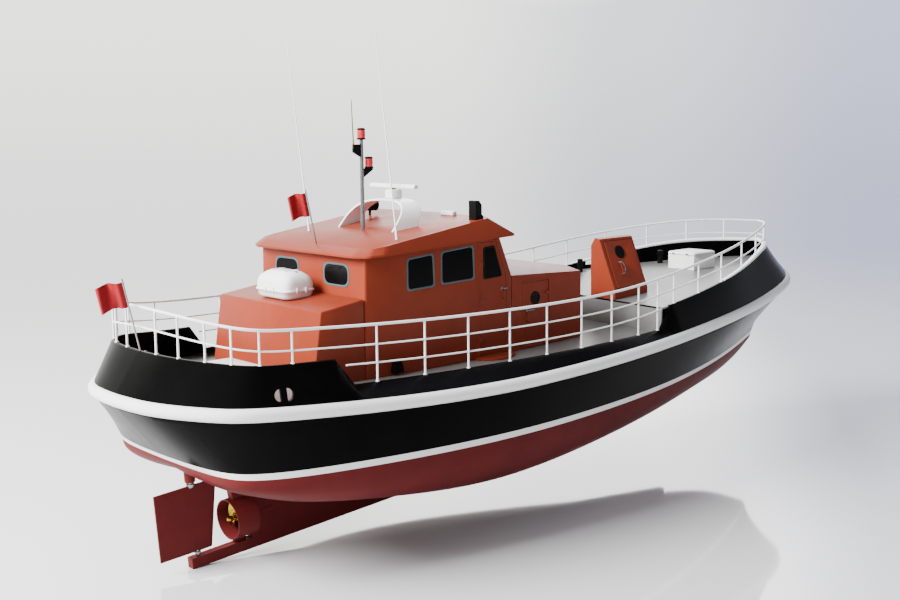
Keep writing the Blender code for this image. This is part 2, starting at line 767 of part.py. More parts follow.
def rails():
    """Top and middle pipes all round, a low pipe along each low length, and their stanchions."""
    stations = post_stations()
    path = sorted({*stations, *EXTRA_T})

    def ring(drop):
        star = [rail_point(t, -1, drop) for t in path]
        return star + [rail_point(t, 1, drop) for t in reversed(path[1:-1])]

    top = tube("rails", ring(0.0), 0.021, rail_white, closed=True)
    others = [tube("middle_pipe", ring(BAR_SPACING), 0.016, closed=True, detail=0)]
    start = station_where(bulwark_plan, STEP_AFT[1] - 0.12)
    stop = station_where(bulwark_plan, STEP_FORE[0] + 0.04)
    run = [start, *[t for t in stations if start + 0.05 < t < stop - 0.05], stop]
    for side in (-1, 1):
        low_path = [rail_point(t, side, BAR_SPACING * 1.93) for t in run]
        others.append(tube(f"low_pipe_{side}", low_path, 0.016, detail=0))
        for number, t in enumerate(stations):
            head = rail_point(t, side)
            foot = Vector((head.x, head.y, bulwark_top(t).z - 0.004))
            others.append(rod(f"stanchion_{side}_{number}", foot, head, 0.017, sides=6))
    return drop_crumbs(seat(fuse(top, others), bpy.data.objects["bulwark"]))


def house_side_plate(name, points, low_y, high_y):
    """A prism from a side view outline of (x, z) points, between two values of y."""
    return loft(name, [[Vector((x, y, z)) for x, z in points] for y in (low_y, high_y)])


def deck_under(x):
    """A little below the main deck's edge at x, for a foot that is then cut to the deck."""
    return sheer(x) + DECK_OVER_SHEER - 0.03


def aft_trunk():
    """The low engine casing aft of the wheelhouse, with a raked aft wall and a sloping top."""
    base_aft = deck_under(TRUNK_AFT_X)
    points = [
        (TRUNK_AFT_X, base_aft),
        (-5.52, TRUNK_TOP_Z),
        (HOUSE_AFT_X - GAP, TRUNK_TOP_Z + 0.1),
        (HOUSE_AFT_X - GAP, deck_under(HOUSE_AFT_X)),
    ]
    body = house_side_plate("aft_trunk", points, -HOUSE_HALF, HOUSE_HALF)
    return seat(finish_piece(bevel(body, 0.02, 2), orange), topsides)


def finish_piece(obj, finish):
    """Turn a helper into a piece of the boat."""
    cutters.objects.unlink(obj)
    parts.objects.link(obj)
    obj.hide_render = False
    obj.display_type = "TEXTURED"
    obj.data.materials.clear()
    obj.data.materials.append(finish)
    return obj


def roof_under(x):
    """Underside of the roof, which rises forward."""
    share = (x - HOUSE_AFT_X) / (HOUSE_FRONT_TOP_X - HOUSE_AFT_X)
    return ROOF_UNDER[0] + (ROOF_UNDER[1] - ROOF_UNDER[0]) * share


def house_outline(inset):
    """The wheelhouse in side view, set in by inset from aft, front and top."""
    low = deck_under(HOUSE_AFT_X) - (0.2 if inset else 0.0)
    aft = HOUSE_AFT_X + inset
    lift = 0.3 if inset else -GAP
    front_low = HOUSE_FRONT[0] - inset * 1.1
    front_top = HOUSE_FRONT_TOP_X - inset * 1.1
    rake = (front_low - front_top) / (roof_under(front_top) - HOUSE_FRONT[1])
    return [
        (aft, low),
        (aft + 0.03, roof_under(aft) + lift),
        (front_top - rake * max(lift, 0.0), roof_under(front_top) + lift),
        (front_low, HOUSE_FRONT[1]),
        (front_low, low),
    ]


def prism(name, points, low_y, high_y, round_by=0.0):
    plate = house_side_plate(name, points, low_y, high_y)
    if round_by:
        keep_round(plate, round_by)
    return plate


def keep_round(obj, radius):
    """Round the edges that run along Y, for windows with rounded corners."""
    work = bmesh.new()
    work.from_mesh(obj.data)
    edges = [e for e in work.edges if abs((e.verts[0].co - e.verts[1].co).normalized().y) > 0.9]
    bmesh.ops.bevel(work, geom=edges, offset=radius, segments=4, affect="EDGES", profile=0.5)
    work.to_mesh(obj.data)
    work.free()
    return obj


def door_outline(play=0.0):
    """The wheelhouse door: upright aft edge, and a front edge raked with the front wall."""
    aft, front = DOOR_X
    return [
        (aft + play, DOOR_LOW_Z + play),
        (aft + play, DOOR_TOP[0][1] - play),
        (DOOR_TOP[1][0] - play, DOOR_TOP[1][1] - 0.012 - play),
        (front - play, HOUSE_FRONT[1] - 0.02),
        (front - play, DOOR_LOW_Z + play),
    ]


def wheelhouse():
    """The hollow wheelhouse with its windows and two door openings cut."""
    body = house_side_plate("wheelhouse", house_outline(0.0), -HOUSE_HALF, HOUSE_HALF)
    finish_piece(bevel(body, 0.03, 2), orange)
    hollow = house_side_plate("house_space", house_outline(WALL), -HOUSE_HALF + WALL, HOUSE_HALF - WALL)
    cuts = [hollow]
    for side in (-1, 1):
        inner = side * (HOUSE_HALF - 2 * WALL)
        outer = side * (HOUSE_HALF + WALL)
        low_y, high_y = sorted((inner, outer))
        for number, points in enumerate(SIDE_WINDOWS):
            cuts.append(prism(f"side_window_{side}_{number}", points, low_y, high_y, 0.05))
        cuts.append(prism(f"door_opening_{side}", door_outline(), low_y, high_y))
    width, height = AFT_WINDOW_SIZE
    for side in (-1, 1):
        hole = rounded_block(
            f"aft_window_{side}",
            (HOUSE_AFT_X - 0.1, side * AFT_WINDOW_Y - width / 2, AFT_WINDOW_Z - height / 2),
            (HOUSE_AFT_X + 0.15, side * AFT_WINDOW_Y + width / 2, AFT_WINDOW_Z + height / 2),
            0.1,
        )
        cuts.append(hole)
    for y in FRONT_WINDOWS_Y:
        low = (HOUSE_FRONT_TOP_X - 0.1, y - 0.34, 2.31)
        high = (HOUSE_FRONT[0] + 0.1, y + 0.34, 2.74)
        cuts.append(rounded_block(f"front_window_{y}", low, high, 0.05))
    return seat(carve(body, cuts), topsides)


def rounded_block(name, low, high, radius):
    """A box whose edges along X are rounded."""
    obj = box(name, low, high)
    work = bmesh.new()
    work.from_mesh(obj.data)
    edges = [e for e in work.edges if abs((e.verts[0].co - e.verts[1].co).normalized().x) > 0.9]
    bmesh.ops.bevel(work, geom=edges, offset=radius, segments=4, affect="EDGES", profile=0.5)
    work.to_mesh(obj.data)
    work.free()
    return obj


def glazing():
    """Dark glass behind the wheelhouse windows: one sheet bent round the aft corners, one in front."""
    thick = 0.008
    aft = HOUSE_AFT_X + WALL + 0.032
    half = HOUSE_HALF - WALL - GAP
    band = house_side_plate("glass_aft", [(aft, 2.13), (aft, 2.72), (-2.5, 2.8), (-2.5, 2.13)], -half, half)
    inside = box("glass_inside", (aft + thick, -half + thick, 2.0), (-2.0, half - thick, 3.0))
    carve(finish_piece(band, glass), [inside])
    top = Vector((HOUSE_FRONT_TOP_X, 0.0, roof_under(HOUSE_FRONT_TOP_X)))
    foot = Vector((HOUSE_FRONT[0], 0.0, HOUSE_FRONT[1]))
    up = (top - foot).normalized()
    out = Vector((up.z, 0.0, -up.x))
    start = foot + up * 0.06 - out * (WALL + 0.002)
    stop = start + up * 0.51
    points = [start, stop, stop - out * thick, start - out * thick]
    sheet = house_side_plate("glass_front", [(p.x, p.z) for p in points], -1.2, 1.2)
    finish_piece(sheet, glass)


def hinge_leaves(label, edge_x, outer, side, face, into, heights):
    """Knuckles on the hinge line just outside the wall, each with a leaf let into the door's face."""
    line_y = outer + side * (HINGE_RADIUS + GAP)
    pieces = []
    for number, z in enumerate(heights):
        foot = (edge_x, line_y, z - 0.04)
        knuckle = rod(f"{label}_knuckle_{number}", foot, (edge_x, line_y, z + 0.04), HINGE_RADIUS, sides=12)
        xs = sorted((edge_x + into * 0.0085, edge_x + into * 0.075))
        ys = sorted((face - side * 0.009, outer + side * 0.0165))
        leaf = box(f"{label}_leaf_{number}", (xs[0], ys[0], z - 0.03), (xs[1], ys[1], z + 0.03))
        pieces.append(fuse(leaf, [knuckle]))
    return pieces, line_y


def wheelhouse_door(label, side):
    """A door with a window, hinged on its aft edge, which opens outwards."""
    outer = side * HOUSE_HALF
    inner = side * (HOUSE_HALF - WALL)
    low_y, high_y = sorted((outer, inner))
    body = prism(f"door_{label}", door_outline(DOOR_PLAY), low_y, high_y)
    finish_piece(body, orange)
    hole = prism(f"door_window_{label}", DOOR_GLASS, low_y - 0.1, high_y + 0.1, 0.04)
    carve(body, [hole])
    bend = [(outer - side * 0.013, 2.0), (outer + side * 0.045, 2.0)]
    bend += [(outer + side * 0.045, 1.86), (outer - side * 0.013, 1.86)]
    grip = tube(f"door_grip_{label}", [(-1.95, y, z) for y, z in bend], 0.011)
    straps, line_y = hinge_leaves(label, DOOR_X[0], outer, side, outer, 1, (1.25, 1.85, 2.45))
    fuse(body, straps)
    fuse(body, [grip])
    hinge = (DOOR_X[0], line_y, DOOR_LOW_Z)
    hinge_at(body, hinge)
    middle = side * (HOUSE_HALF - WALL / 2)
    pane_low, pane_high = sorted((middle - 0.004, middle + 0.004))
    shrink = 0.0003
    centre_x = sum(p[0] for p in DOOR_GLASS) / 4
    centre_z = sum(p[1] for p in DOOR_GLASS) / 4
    pane = []
    for x, z in DOOR_GLASS:
        pane.append((x + math.copysign(shrink, centre_x - x), z + math.copysign(shrink, centre_z - z)))
    sheet = finish_piece(prism(f"door_glass_{label}", pane, pane_low, pane_high, 0.04), glass)
    hinge_at(sheet, hinge)


def roof():
    """The wheelhouse roof: a low brim that rises forward, and a deep sloping visor."""
    lower = [(-4.87, 1.22), (-4.76, 1.46), (-4.50, 1.52), (-1.90, 1.57), (-1.81, 1.40), (-1.74, 0.0)]
    upper = [(-4.73, 1.20), (-4.63, 1.40), (-4.42, 1.46), (-2.40, 1.47), (-2.31, 1.33), (-2.27, 0.0)]
    brim = 0.03

    def ring(points, height):
        star = [(x, -y) for x, y in points]
        port = [(x, y) for x, y in reversed(points[:-1])]
        return [Vector((x, y, height(x))) for x, y in star + port]

    def edge(x):
        return roof_under(x) + brim

    return loft("roof", [ring(lower, roof_under), ring(lower, edge), ring(upper, roof_top)], orange)


def forward_trunk():
    """The low casing ahead of the wheelhouse, hollow, with a cambered top and a door opening."""
    start = HOUSE_FRONT[0] + GAP
    low_aft = deck_under(start)
    end = FRONT_TRUNK_END_X
    top_aft = FRONT_TRUNK_TOP_Z
    top_fore = FRONT_TRUNK_TOP_Z - 0.07

    def section(x, top, low, half, crown):
        arc = [(-half, low), (-half, top)]
        arc += [(-half + 0.35, top + crown), (half - 0.35, top + crown), (half, top), (half, low)]
        return [Vector((x, y, z)) for y, z in arc]

    low_fore = deck_under(end)
    base = max(low_aft, low_fore)
    body = loft(
        "forward_trunk",
        [section(start, top_aft, base, HOUSE_HALF, 0.07), section(end, top_fore, base, HOUSE_HALF, 0.07)],
        orange,
    )
    hollow = loft(
        "trunk_space",
        [
            section(start - 0.2, top_aft - WALL, 0.5, HOUSE_HALF - WALL, 0.07),
            section(end - WALL, top_fore - WALL, 0.5, HOUSE_HALF - WALL, 0.07),
        ],
    )
    low, high = front_door_box(0.0)
    low = (low[0], -HOUSE_HALF - 0.1, low[2])
    high = (high[0], -HOUSE_HALF + 0.1, high[2])
    opening = box("front_door_opening", low, high)
    return seat(carve(body, [hollow, opening]), topsides)


def front_door_box(play):
    low = (-1.46 + play, -HOUSE_HALF, 1.02 + play)
    high = (-0.86 - play, -HOUSE_HALF + WALL, 2.06 - play)
    return low, high


def front_door():
    """The low door into the forward casing, with a round port, hinged on its forward edge."""
    low, high = front_door_box(DOOR_PLAY)
    body = box("door_front", (low[0], low[1] + 0.012, low[2]), (high[0], high[1], high[2]), orange)
    port = rod("front_port", (-1.18, -1.5, 1.78), (-1.18, -1.1, 1.78), 0.1, sides=24)
    carve(body, [port])
    bend = [(low[1] + 0.03, 1.56), (low[1] - 0.04, 1.56), (low[1] - 0.04, 1.42), (low[1] + 0.03, 1.42)]
    grip = tube("front_grip", [(-1.37, y, z) for y, z in bend], 0.011)
    edge = high[0] + DOOR_PLAY
    straps, line_y = hinge_leaves("front", edge, low[1], -1, low[1] + 0.012, -1, (1.25, 1.85))
    fuse(body, straps)
    fuse(body, [grip])
    hinge = (edge, line_y, low[2])
    hinge_at(body, hinge)
    pane = rod("door_glass_front", (-1.18, -1.3, 1.78), (-1.18, -1.29, 1.78), 0.0995, glass, sides=24)
    hinge_at(pane, hinge)


def companion():
    """The orange scuttle on the foredeck, upright to port and leaning to starboard."""
    aft, fore = COMPANION_X
    port, star = COMPANION_Y
    top = 2.56

    def section(x, base):
        points = [(port, base), (port, top - 0.14), (port - 0.09, top), (port - 0.2, top - 0.02)]
        points += [(star, base + 0.19), (star, base)]
        return [Vector((x, y, z)) for y, z in points]

    base = foredeck_z(aft) - 0.02
    body = loft("companion", [section(aft, base), section(fore, base)], orange)
    cut = companion_door_shape("companion_opening", 0.0, 0.03, 0.2)
    return seat(carve(body, [cut]), topsides)


def companion_frame():
    """The leaning face: its foot, the way up it, and the way out of it."""
    base = foredeck_z(COMPANION_X[0]) + 0.17
    foot = Vector((0.0, COMPANION_Y[1], base))
    head = Vector((0.0, COMPANION_Y[0] - 0.2, 2.54))
    up = (head - foot).normalized()
    out = Vector((0.0, -up.z, up.y))
    return foot, head, up, out


def companion_door_shape(name, play, depth, proud):
    foot, head, up, out = companion_frame()
    length = (head - foot).length
    aft, fore = COMPANION_X
    points = []
    for x in (aft + 0.09 + play, fore - 0.05 - play):
        low = 0.05 + play
        high = length - 0.05 - play
        for along, off in ((low, -depth), (low, proud), (high, proud), (high, -depth)):
            p = foot + up * along + out * off
            points.append(Vector((x, p.y, p.z)))
    return loft(name, [points[:4], points[4:]])


def companion_door():
    """The leaning door with a round port and a bow handle, hinged on its forward edge."""
    foot, head, up, out = companion_frame()
    body = finish_piece(companion_door_shape("door_companion", DOOR_PLAY, 0.0297, 0.012), orange)
    port = foot + up * ((head - foot).length * 0.72)
    port.x = 1.47
    hole = rod("companion_port", port - out * 0.018, port + out * 0.1, 0.11, sides=24)
    carve(body, [hole])
    grip_points = []
    middle = foot + up * ((head - foot).length * 0.42)
    for along, off in ((0.1, 0.0), (0.09, 0.05), (-0.09, 0.05), (-0.1, 0.0)):
        p = middle + up * along + out * off
        grip_points.append((1.36, p.y, p.z))
    fuse(body, [tube("companion_grip", grip_points, 0.011)])
    hinge = foot + out * 0.012
    hinge.x = COMPANION_X[1] - 0.05
    hinge_at(body, hinge)
    pane = rod("door_glass_companion", port - out * 0.0177, port - out * 0.006, 0.1095, glass, sides=24)
    hinge_at(pane, hinge)


def hatch(label, centre, size, height, base):
    """A square hatch: a coaming on deck, and a lid hinged at its forward edge."""
    x, y = centre
    half_x, half_y = size[0] / 2, size[1] / 2
    low = Vector((x - half_x, y - half_y, base))
    high = Vector((x + half_x, y + half_y, base + height))
    wall = Vector((0.04, 0.04, 1.0))
    well = box(f"{label}_well", low + wall * Vector((1, 1, -1)), high - wall * Vector((1, 1, -1)))
    seat(carve(box(f"{label}_coaming", low, high, white), [well]), topsides)
    lid_low = base + height + GAP
    lid = box(
        f"{label}_lid",
        (x - half_x - 0.015, y - half_y - 0.015, lid_low),
        (x + half_x + 0.015, y + half_y + 0.015, lid_low + 0.06),
        white,
    )
    bevel(lid, 0.02, 2)
    hinge_at(lid, (x + half_x + 0.015, y, lid_low))


def liferaft():
    """The canister in two rounded halves, in a cradle on the trunk's top."""
    x, y = -5.14, 0.1
    slope = 0.1 / 0.77
    top = TRUNK_TOP_Z + (x + 5.52) * slope
    cradle = box("raft_cradle", (x - 0.2, y - 0.28, top - 0.05), (x + 0.2, y + 0.28, top + 0.05), white)
    seat(cradle, bpy.data.objects["aft_trunk"])
    body = box("liferaft", (x - 0.24, y - 0.38, top + 0.03), (x + 0.24, y + 0.38, top + 0.41))
    cage = body.modifiers.new("round", "BEVEL")
    cage.width = 0.13
    cage.segments = 3
    cage.limit_method = "NONE"
    apply_modifiers(body)
    finish_piece(body, white)
    fuse(body, [cradle])


def roof_top(x):
    """The roof's flat upper surface, which rises forward."""
    return 2.86 + 0.31 * (x + 4.68) / 2.23


def mast():
    """A steel mast with gusset brackets for its lamp and its spike aerial."""
    foot = Vector((MAST_X, 0.0, roof_top(MAST_X) - 0.03))
    head = Vector((MAST_X, 0.0, 4.40))
    body = rod("mast", foot, head, 0.035, steel, sides=16, end_radius=0.028)
    lamp_points = [(MAST_X, 3.82), (-3.49, 3.93), (-3.49, LAMP_ARM_Z), (MAST_X, LAMP_ARM_Z)]
    arm = house_side_plate("lamp_arm", lamp_points, -0.02, 0.02)
    spike_points = [(MAST_X, 4.12), (MAST_X, 4.33), (-3.87, 4.33), (-3.87, 4.21)]
    spike_arm = house_side_plate("spike_arm", spike_points, -0.02, 0.02)
    spike = rod("spike", (-3.85, 0.0, 4.2), (-3.88, 0.0, 5.02), 0.022, sides=8, end_radius=0.006)
    return seat(fuse(body, [arm, spike_arm, spike]), bpy.data.objects["roof"])


def lamp(name, x, z, radius=0.068):
    """A red all-round lamp between a black base and a black cap."""
    profile = [(0.0, 0.18), (radius * 0.9, 0.175), (radius, 0.155), (radius * 0.9, 0.15)]
    profile += [(radius * 0.9, 0.03), (radius, 0.025), (radius, 0.0), (0.0, 0.0)]
    return turned(name, profile, (x, 0.0, z), (0.0, 0.0, 1.0), lamp_red, 16)


def whip(name, foot, head):
    """A long tapered whip aerial on a short ferrule."""
    body = rod(name, foot, head, 0.012, white, sides=6, end_radius=0.005)
    start = Vector(foot)
    along = (Vector(head) - start).normalized()
    ferrule = rod(name + "_ferrule", start, start + along * 0.2, 0.022, sides=10)
    return seat(fuse(body, [ferrule]), bpy.data.objects["roof"])


def radar_arch():
    """A white moulded arch. Its fore edges stand upright and its aft edges rake forward."""
    rings = []
    for step in range(17):
        angle = math.pi * step / 16
        side = math.copysign(abs(math.cos(angle)) ** ARCH_SQUARE, -math.cos(angle))
        rise = math.sin(angle) ** ARCH_SQUARE
        aft = ARCH_AFT[0] + (ARCH_AFT[1] - ARCH_AFT[0]) * rise
        fore = ARCH_FORE[0] + (ARCH_FORE[1] - ARCH_FORE[0]) * rise
        splay = 0.06 * (1.0 - rise) * side
        outer = []
        inner = []
        for x, y in ((aft, ARCH_HALF * side), (fore, ARCH_HALF * side + splay)):
            foot = roof_top(x) - 0.08
            z = foot + (ARCH_TOP - foot) * rise
            outer.append(Vector((x, y, z)))
            inner.append(Vector((x, y - 0.04 * side, z - 0.04 * rise)))
        rings.append([outer[0], outer[1], inner[1], inner[0]])
    return seat(loft("radar_arch", rings, white), bpy.data.objects["roof"])


def radar():
    """The radar's gearbox on the arch, and its scanner bar, which turns."""
    low = ARCH_TOP + GAP
    base = box("radar_gearbox", (SCANNER_X - 0.1, -0.1, low), (SCANNER_X + 0.1, 0.1, low + 0.14), white)
    bevel(base, 0.02, 2)
    bar_low = low + 0.14 + GAP
    corner = Vector((0.045, SCANNER_HALF, 0.035))
    centre = Vector((SCANNER_X, 0.0, bar_low + 0.055))
    bar = box("radar_scanner", centre - corner, centre + corner)
    bevel(bar, 0.02, 2)
    finish_piece(bar, white)
    neck = rod("scanner_neck", (SCANNER_X, 0.0, bar_low), (SCANNER_X, 0.0, bar_low + 0.05), 0.045, sides=16)
    fuse(bar, [neck])
    hinge_at(bar, (SCANNER_X, 0.0, bar_low))


def roof_fittings():
    """Searchlight, exhaust box and the small white box on the roof."""
    roof_piece = bpy.data.objects["roof"]
    x, y = -2.78, 0.98
    foot = roof_top(x) - 0.03
    post = rod("searchlight", (x, y, foot), (x, y, foot + 0.2), 0.02, black_trim, sides=12)
    drum = rod("drum", (x - 0.12, y, foot + 0.2), (x + 0.12, y, foot + 0.2), 0.1, sides=20)
    seat(fuse(post, [drum]), roof_piece)
    x, y = -2.52, -1.33
    foot = roof_top(x) - 0.05
    low = (x - 0.08, y - 0.08, foot)
    seat(box("exhaust_box", low, (x + 0.08, y + 0.08, foot + 0.34), black_trim), roof_piece)
    x, y = -2.36, -0.52
    foot = roof_top(x) - 0.04
    white_box = box("roof_box", (x - 0.05, y - 0.15, foot), (x + 0.05, y + 0.15, foot + 0.1), white)
    seat(bevel(white_box, 0.015, 1), roof_piece)


def flag(name, base, staff_foot, staff_head, height, length):
    """A leaning staff and its plain flag, streaming aft in waves."""
    start = Vector(staff_foot)
    end = Vector(staff_head)
    along = (end - start).normalized()
    seat(rod(name + "_staff", start, end, 0.012, steel, sides=8), base)
    rings = []
    out = Vector((-0.72, 0.69, 0.0)).normalized()
    across = Vector((-out.y, out.x, 0.0))
    for step in range(9):
        share = step / 8
        wave = across * (0.05 * math.sin(share * math.pi * 2.2) * share**0.5)
        drop = Vector((0.0, 0.0, -0.10 * share**2))
        reach = out * (0.01255 + length * share)
        middle = start + along * ((end - start).length - 0.05) + reach + wave + drop
        thick = across * 0.004
        low = middle - along * height
        rings.append([middle - thick, middle + thick, low + thick, low - thick])
    return loft(name, rings, flag_red)


def deck_fittings():
    """Mooring posts on the foredeck, the half-round step at the wheelhouse door, and the trunk's vent."""
    for label, (x, y) in (("bitt_aft", (3.1, 1.55)), ("bitt_fore", (5.0, 1.0))):
        foot = foredeck_z(x) - 0.02
        post = rod(label, (x, y, foot), (x, y, foot + 0.29), 0.055, black_trim, sides=16)
        bar = rod("cross_bar", (x - 0.1, y, foot + 0.22), (x + 0.1, y, foot + 0.22), 0.02, sides=10)
        seat(fuse(post, [bar]), topsides)
    steps = [(math.cos(a), math.sin(a)) for a in [math.pi * i / 10 for i in range(11)]]
    x = sum(DOOR_X) / 2
    points = [(x + 0.4 * c, -HOUSE_HALF - GAP - 0.3 * s) for c, s in steps]
    base = deck_under(DOOR_X[0])
    frame = Matrix.Translation((0.0, 0.0, (base + DOOR_LOW_Z - 0.01) / 2))
    seat(outline("door_step", points, DOOR_LOW_Z - 0.01 - base, orange, frame), topsides)
    half_round = [(-4.18 + 0.1 * c, base + 0.1 + 0.21 * s) for c, s in steps]
    vent = house_side_plate("vent", half_round, -HOUSE_HALF - 0.08, -HOUSE_HALF - GAP)
    finish_piece(vent, black_trim)


clear_scene()
parts = collection(PARTS)
cutters = collection(CUTTERS, hidden=True)
black = material("black_paint", (0.012, 0.012, 0.014), 0.35)
red = material("antifouling", (0.16, 0.035, 0.035), 0.6)
white = material("white_paint", (0.8, 0.8, 0.79), 0.3)
rail_white = material("rail_paint", (0.82, 0.82, 0.81), 0.35)
orange = material("orange_paint", (0.62, 0.12, 0.055), 0.4)
brass = material("brass", (0.6, 0.45, 0.08), 0.25, 1.0)
steel = material("steel", (0.35, 0.35, 0.36), 0.4, 0.9)
glass = material("dark_glass", (0.01, 0.012, 0.014), 0.05)
lamp_red = material("lamp_red", (0.6, 0.01, 0.01), 0.2)
black_trim = material("black_trim", (0.01, 0.01, 0.01), 0.5)
flag_red = material("flag_cloth", (0.45, 0.02, 0.03), 0.8)

steps_t = [station_where(bulwark_plan, x) for x in (*STEP_AFT, *STEP_FORE)]
HULL_T = sorted({*EXTRA_T, *post_stations(), *steps_t})

hull_bottom()
boot_stripe()
topsides = hull_topsides()
rub_rail()
keel_bar()
nozzle()
propeller()
rudder()
bulwark()
rails()
aft_trunk()
wheelhouse()
roof()
forward_trunk()
glazing()
wheelhouse_door("starboard", -1)
wheelhouse_door("port", 1)
front_door()
companion()
companion_door()
hatch("fore_hatch", (4.75, 0.0), (0.7, 0.64), 0.34, foredeck_z(4.4) - 0.02)
hatch("aft_hatch", (-6.35, 0.0), (0.8, 0.8), 0.2, sheer(-6.0) + DECK_OVER_SHEER)
liferaft()
mast()
lamp("lamp_top", MAST_X, 4.40 + GAP)
lamp("lamp_side", -3.56, LAMP_ARM_Z + GAP)
whip("whip_port", (WHIP_X, 0.98, roof_top(WHIP_X) - 0.04), (-4.37, 0.98, 6.0))
whip("whip_starboard", (WHIP_X, -1.22, roof_top(WHIP_X) - 0.04), (-4.37, -1.22, 6.0))
radar_arch()
radar()
roof_fittings()
flag("flag_stern", bpy.data.objects["bulwark"], (-7.635, 0.0, 1.585), (-7.86, 0.0, 2.62), 0.36, 0.5)
roof_foot = (-4.65, -0.06, roof_top(-4.65) - 0.04)
flag("flag_roof", bpy.data.objects["roof"], roof_foot, (-4.83, -0.06, 3.68), 0.36, 0.38)
deck_fittings()
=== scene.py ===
# %% [markdown]
# A small steel stern trawler stands on a pale studio floor, seen from its starboard quarter.
# The packed model is a fixed frame: its bodies move, and every piece made here rides on one of
# them. Lengths are metres, +X is forward, +Y is port, +Z is up, and z = 0 is the design waterline.

# %% Load the frame
import math

import bmesh
import bpy
import numpy as np
from mathutils import Matrix, Vector


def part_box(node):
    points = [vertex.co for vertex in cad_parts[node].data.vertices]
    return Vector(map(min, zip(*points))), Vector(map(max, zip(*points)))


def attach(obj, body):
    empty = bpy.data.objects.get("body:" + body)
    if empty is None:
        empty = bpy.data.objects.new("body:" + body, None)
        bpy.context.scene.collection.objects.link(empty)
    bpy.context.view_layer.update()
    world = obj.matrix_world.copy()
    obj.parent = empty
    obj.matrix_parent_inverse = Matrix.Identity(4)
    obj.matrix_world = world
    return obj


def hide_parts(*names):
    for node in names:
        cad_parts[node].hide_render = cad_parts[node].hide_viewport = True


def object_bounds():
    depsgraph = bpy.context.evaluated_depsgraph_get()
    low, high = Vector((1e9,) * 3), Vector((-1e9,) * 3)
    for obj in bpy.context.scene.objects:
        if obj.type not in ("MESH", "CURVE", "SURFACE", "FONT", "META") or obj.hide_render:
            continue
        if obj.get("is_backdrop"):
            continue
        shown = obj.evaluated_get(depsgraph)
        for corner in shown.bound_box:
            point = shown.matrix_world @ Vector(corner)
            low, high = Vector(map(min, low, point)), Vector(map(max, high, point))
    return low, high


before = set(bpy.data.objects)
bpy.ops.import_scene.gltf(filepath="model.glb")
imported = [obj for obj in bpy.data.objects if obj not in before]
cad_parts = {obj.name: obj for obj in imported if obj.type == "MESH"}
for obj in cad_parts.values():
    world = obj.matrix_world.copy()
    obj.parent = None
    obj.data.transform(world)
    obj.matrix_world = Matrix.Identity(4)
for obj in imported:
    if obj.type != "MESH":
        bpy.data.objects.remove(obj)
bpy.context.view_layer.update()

# %% [markdown]
# The photograph was taken from behind and to the right of the boat, from a little above the rail,
# with a lens of about 50 mm. The keel has drag, so the boat stands with its bow slightly up:
# the studio floor is level with the world and the boat's own frame is tipped by 0.9 degrees.

# %% Camera
TRIM = math.radians(0.9)
HEEL_X = -7.0
HEEL_Z = -1.69
CAMERA_PLACE = Vector((-15.79, -15.39, 4.75))
CAMERA_RIGHT = Vector((0.7407, -0.6717, -0.0116)).normalized()
CAMERA_FORWARD = Vector((0.6635, 0.7341, -0.1461)).normalized()
SENSOR = 36.0
FOCAL_PIXELS = 1247
PHOTO_WIDTH = 900

camera_data = bpy.data.cameras.new("camera")
camera_data.sensor_width = SENSOR
camera_data.lens = SENSOR * FOCAL_PIXELS / PHOTO_WIDTH
camera_data.clip_end = 500.0
camera = bpy.data.objects.new("camera", camera_data)
camera_up = CAMERA_RIGHT.cross(CAMERA_FORWARD).normalized()
turn = Matrix((CAMERA_RIGHT, camera_up, -CAMERA_FORWARD)).transposed()
camera.matrix_world = Matrix.Translation(CAMERA_PLACE) @ turn.to_4x4()
bpy.context.scene.collection.objects.link(camera)
bpy.context.scene.camera = camera
print("lens:", round(camera_data.lens, 1), "mm")

# %% [markdown]
# Shader sums read best as plain arithmetic. They could be wired by hand in the node editor, but a
# line such as rough + (noise - 0.5) * 0.14 says at once what it does. A small class wraps a socket,
# and its operators add the Math nodes; each has its reflected form, so that 1 - mask works too.


# %% Shader values
def operator(operation, reflected=False):
    """A method that adds one Math node; the reflected form swaps its two inputs."""

    def method(self, other):
        pair = (other, self) if reflected else (self, other)
        made = self.tree.node("ShaderNodeMath", {"operation": operation}, dict(enumerate(pair)))
        return made.out()

    return method


class Value:
    """A number or colour that flows through a node tree, with + - * / and their reflected forms."""

    def __init__(self, tree, socket):
        self.tree = tree
        self.socket = socket

    __add__ = operator("ADD")
    __radd__ = operator("ADD", True)
    __sub__ = operator("SUBTRACT")
    __rsub__ = operator("SUBTRACT", True)
    __mul__ = operator("MULTIPLY")
    __rmul__ = operator("MULTIPLY", True)
    __truediv__ = operator("DIVIDE")
    __rtruediv__ = operator("DIVIDE", True)
    above = operator("GREATER_THAN")

    def clipped(self):
        return self.tree.node("ShaderNodeClamp", {}, {"Value": self}).out()

    def sine(self):
        return self.tree.node("ShaderNodeMath", {"operation": "SINE"}, {0: self}).out()

    def axis(self, number):
        """One of the three numbers of a place: 2 is the height."""
        return self.tree.node("ShaderNodeSeparateXYZ", {}, {"Vector": self}).out(number)


print("operators of a value:", sum(name.startswith("__") for name in vars(Value)))

# %% [markdown]
# All nodes come from one method, which takes a node's type, its settings and what goes into its
# sockets. One method per kind of node would be longer and no clearer. A paint is a node tree with a
# Principled shader at its end; the sky, made near the end of this lesson, is another tree.


# %% Node trees and paints
class Made:
    """A node that was just made; out() gives one of its results."""

    def __init__(self, tree, node):
        self.tree = tree
        self.node = node

    def out(self, name=0):
        return Value(self.tree, self.node.outputs[name])


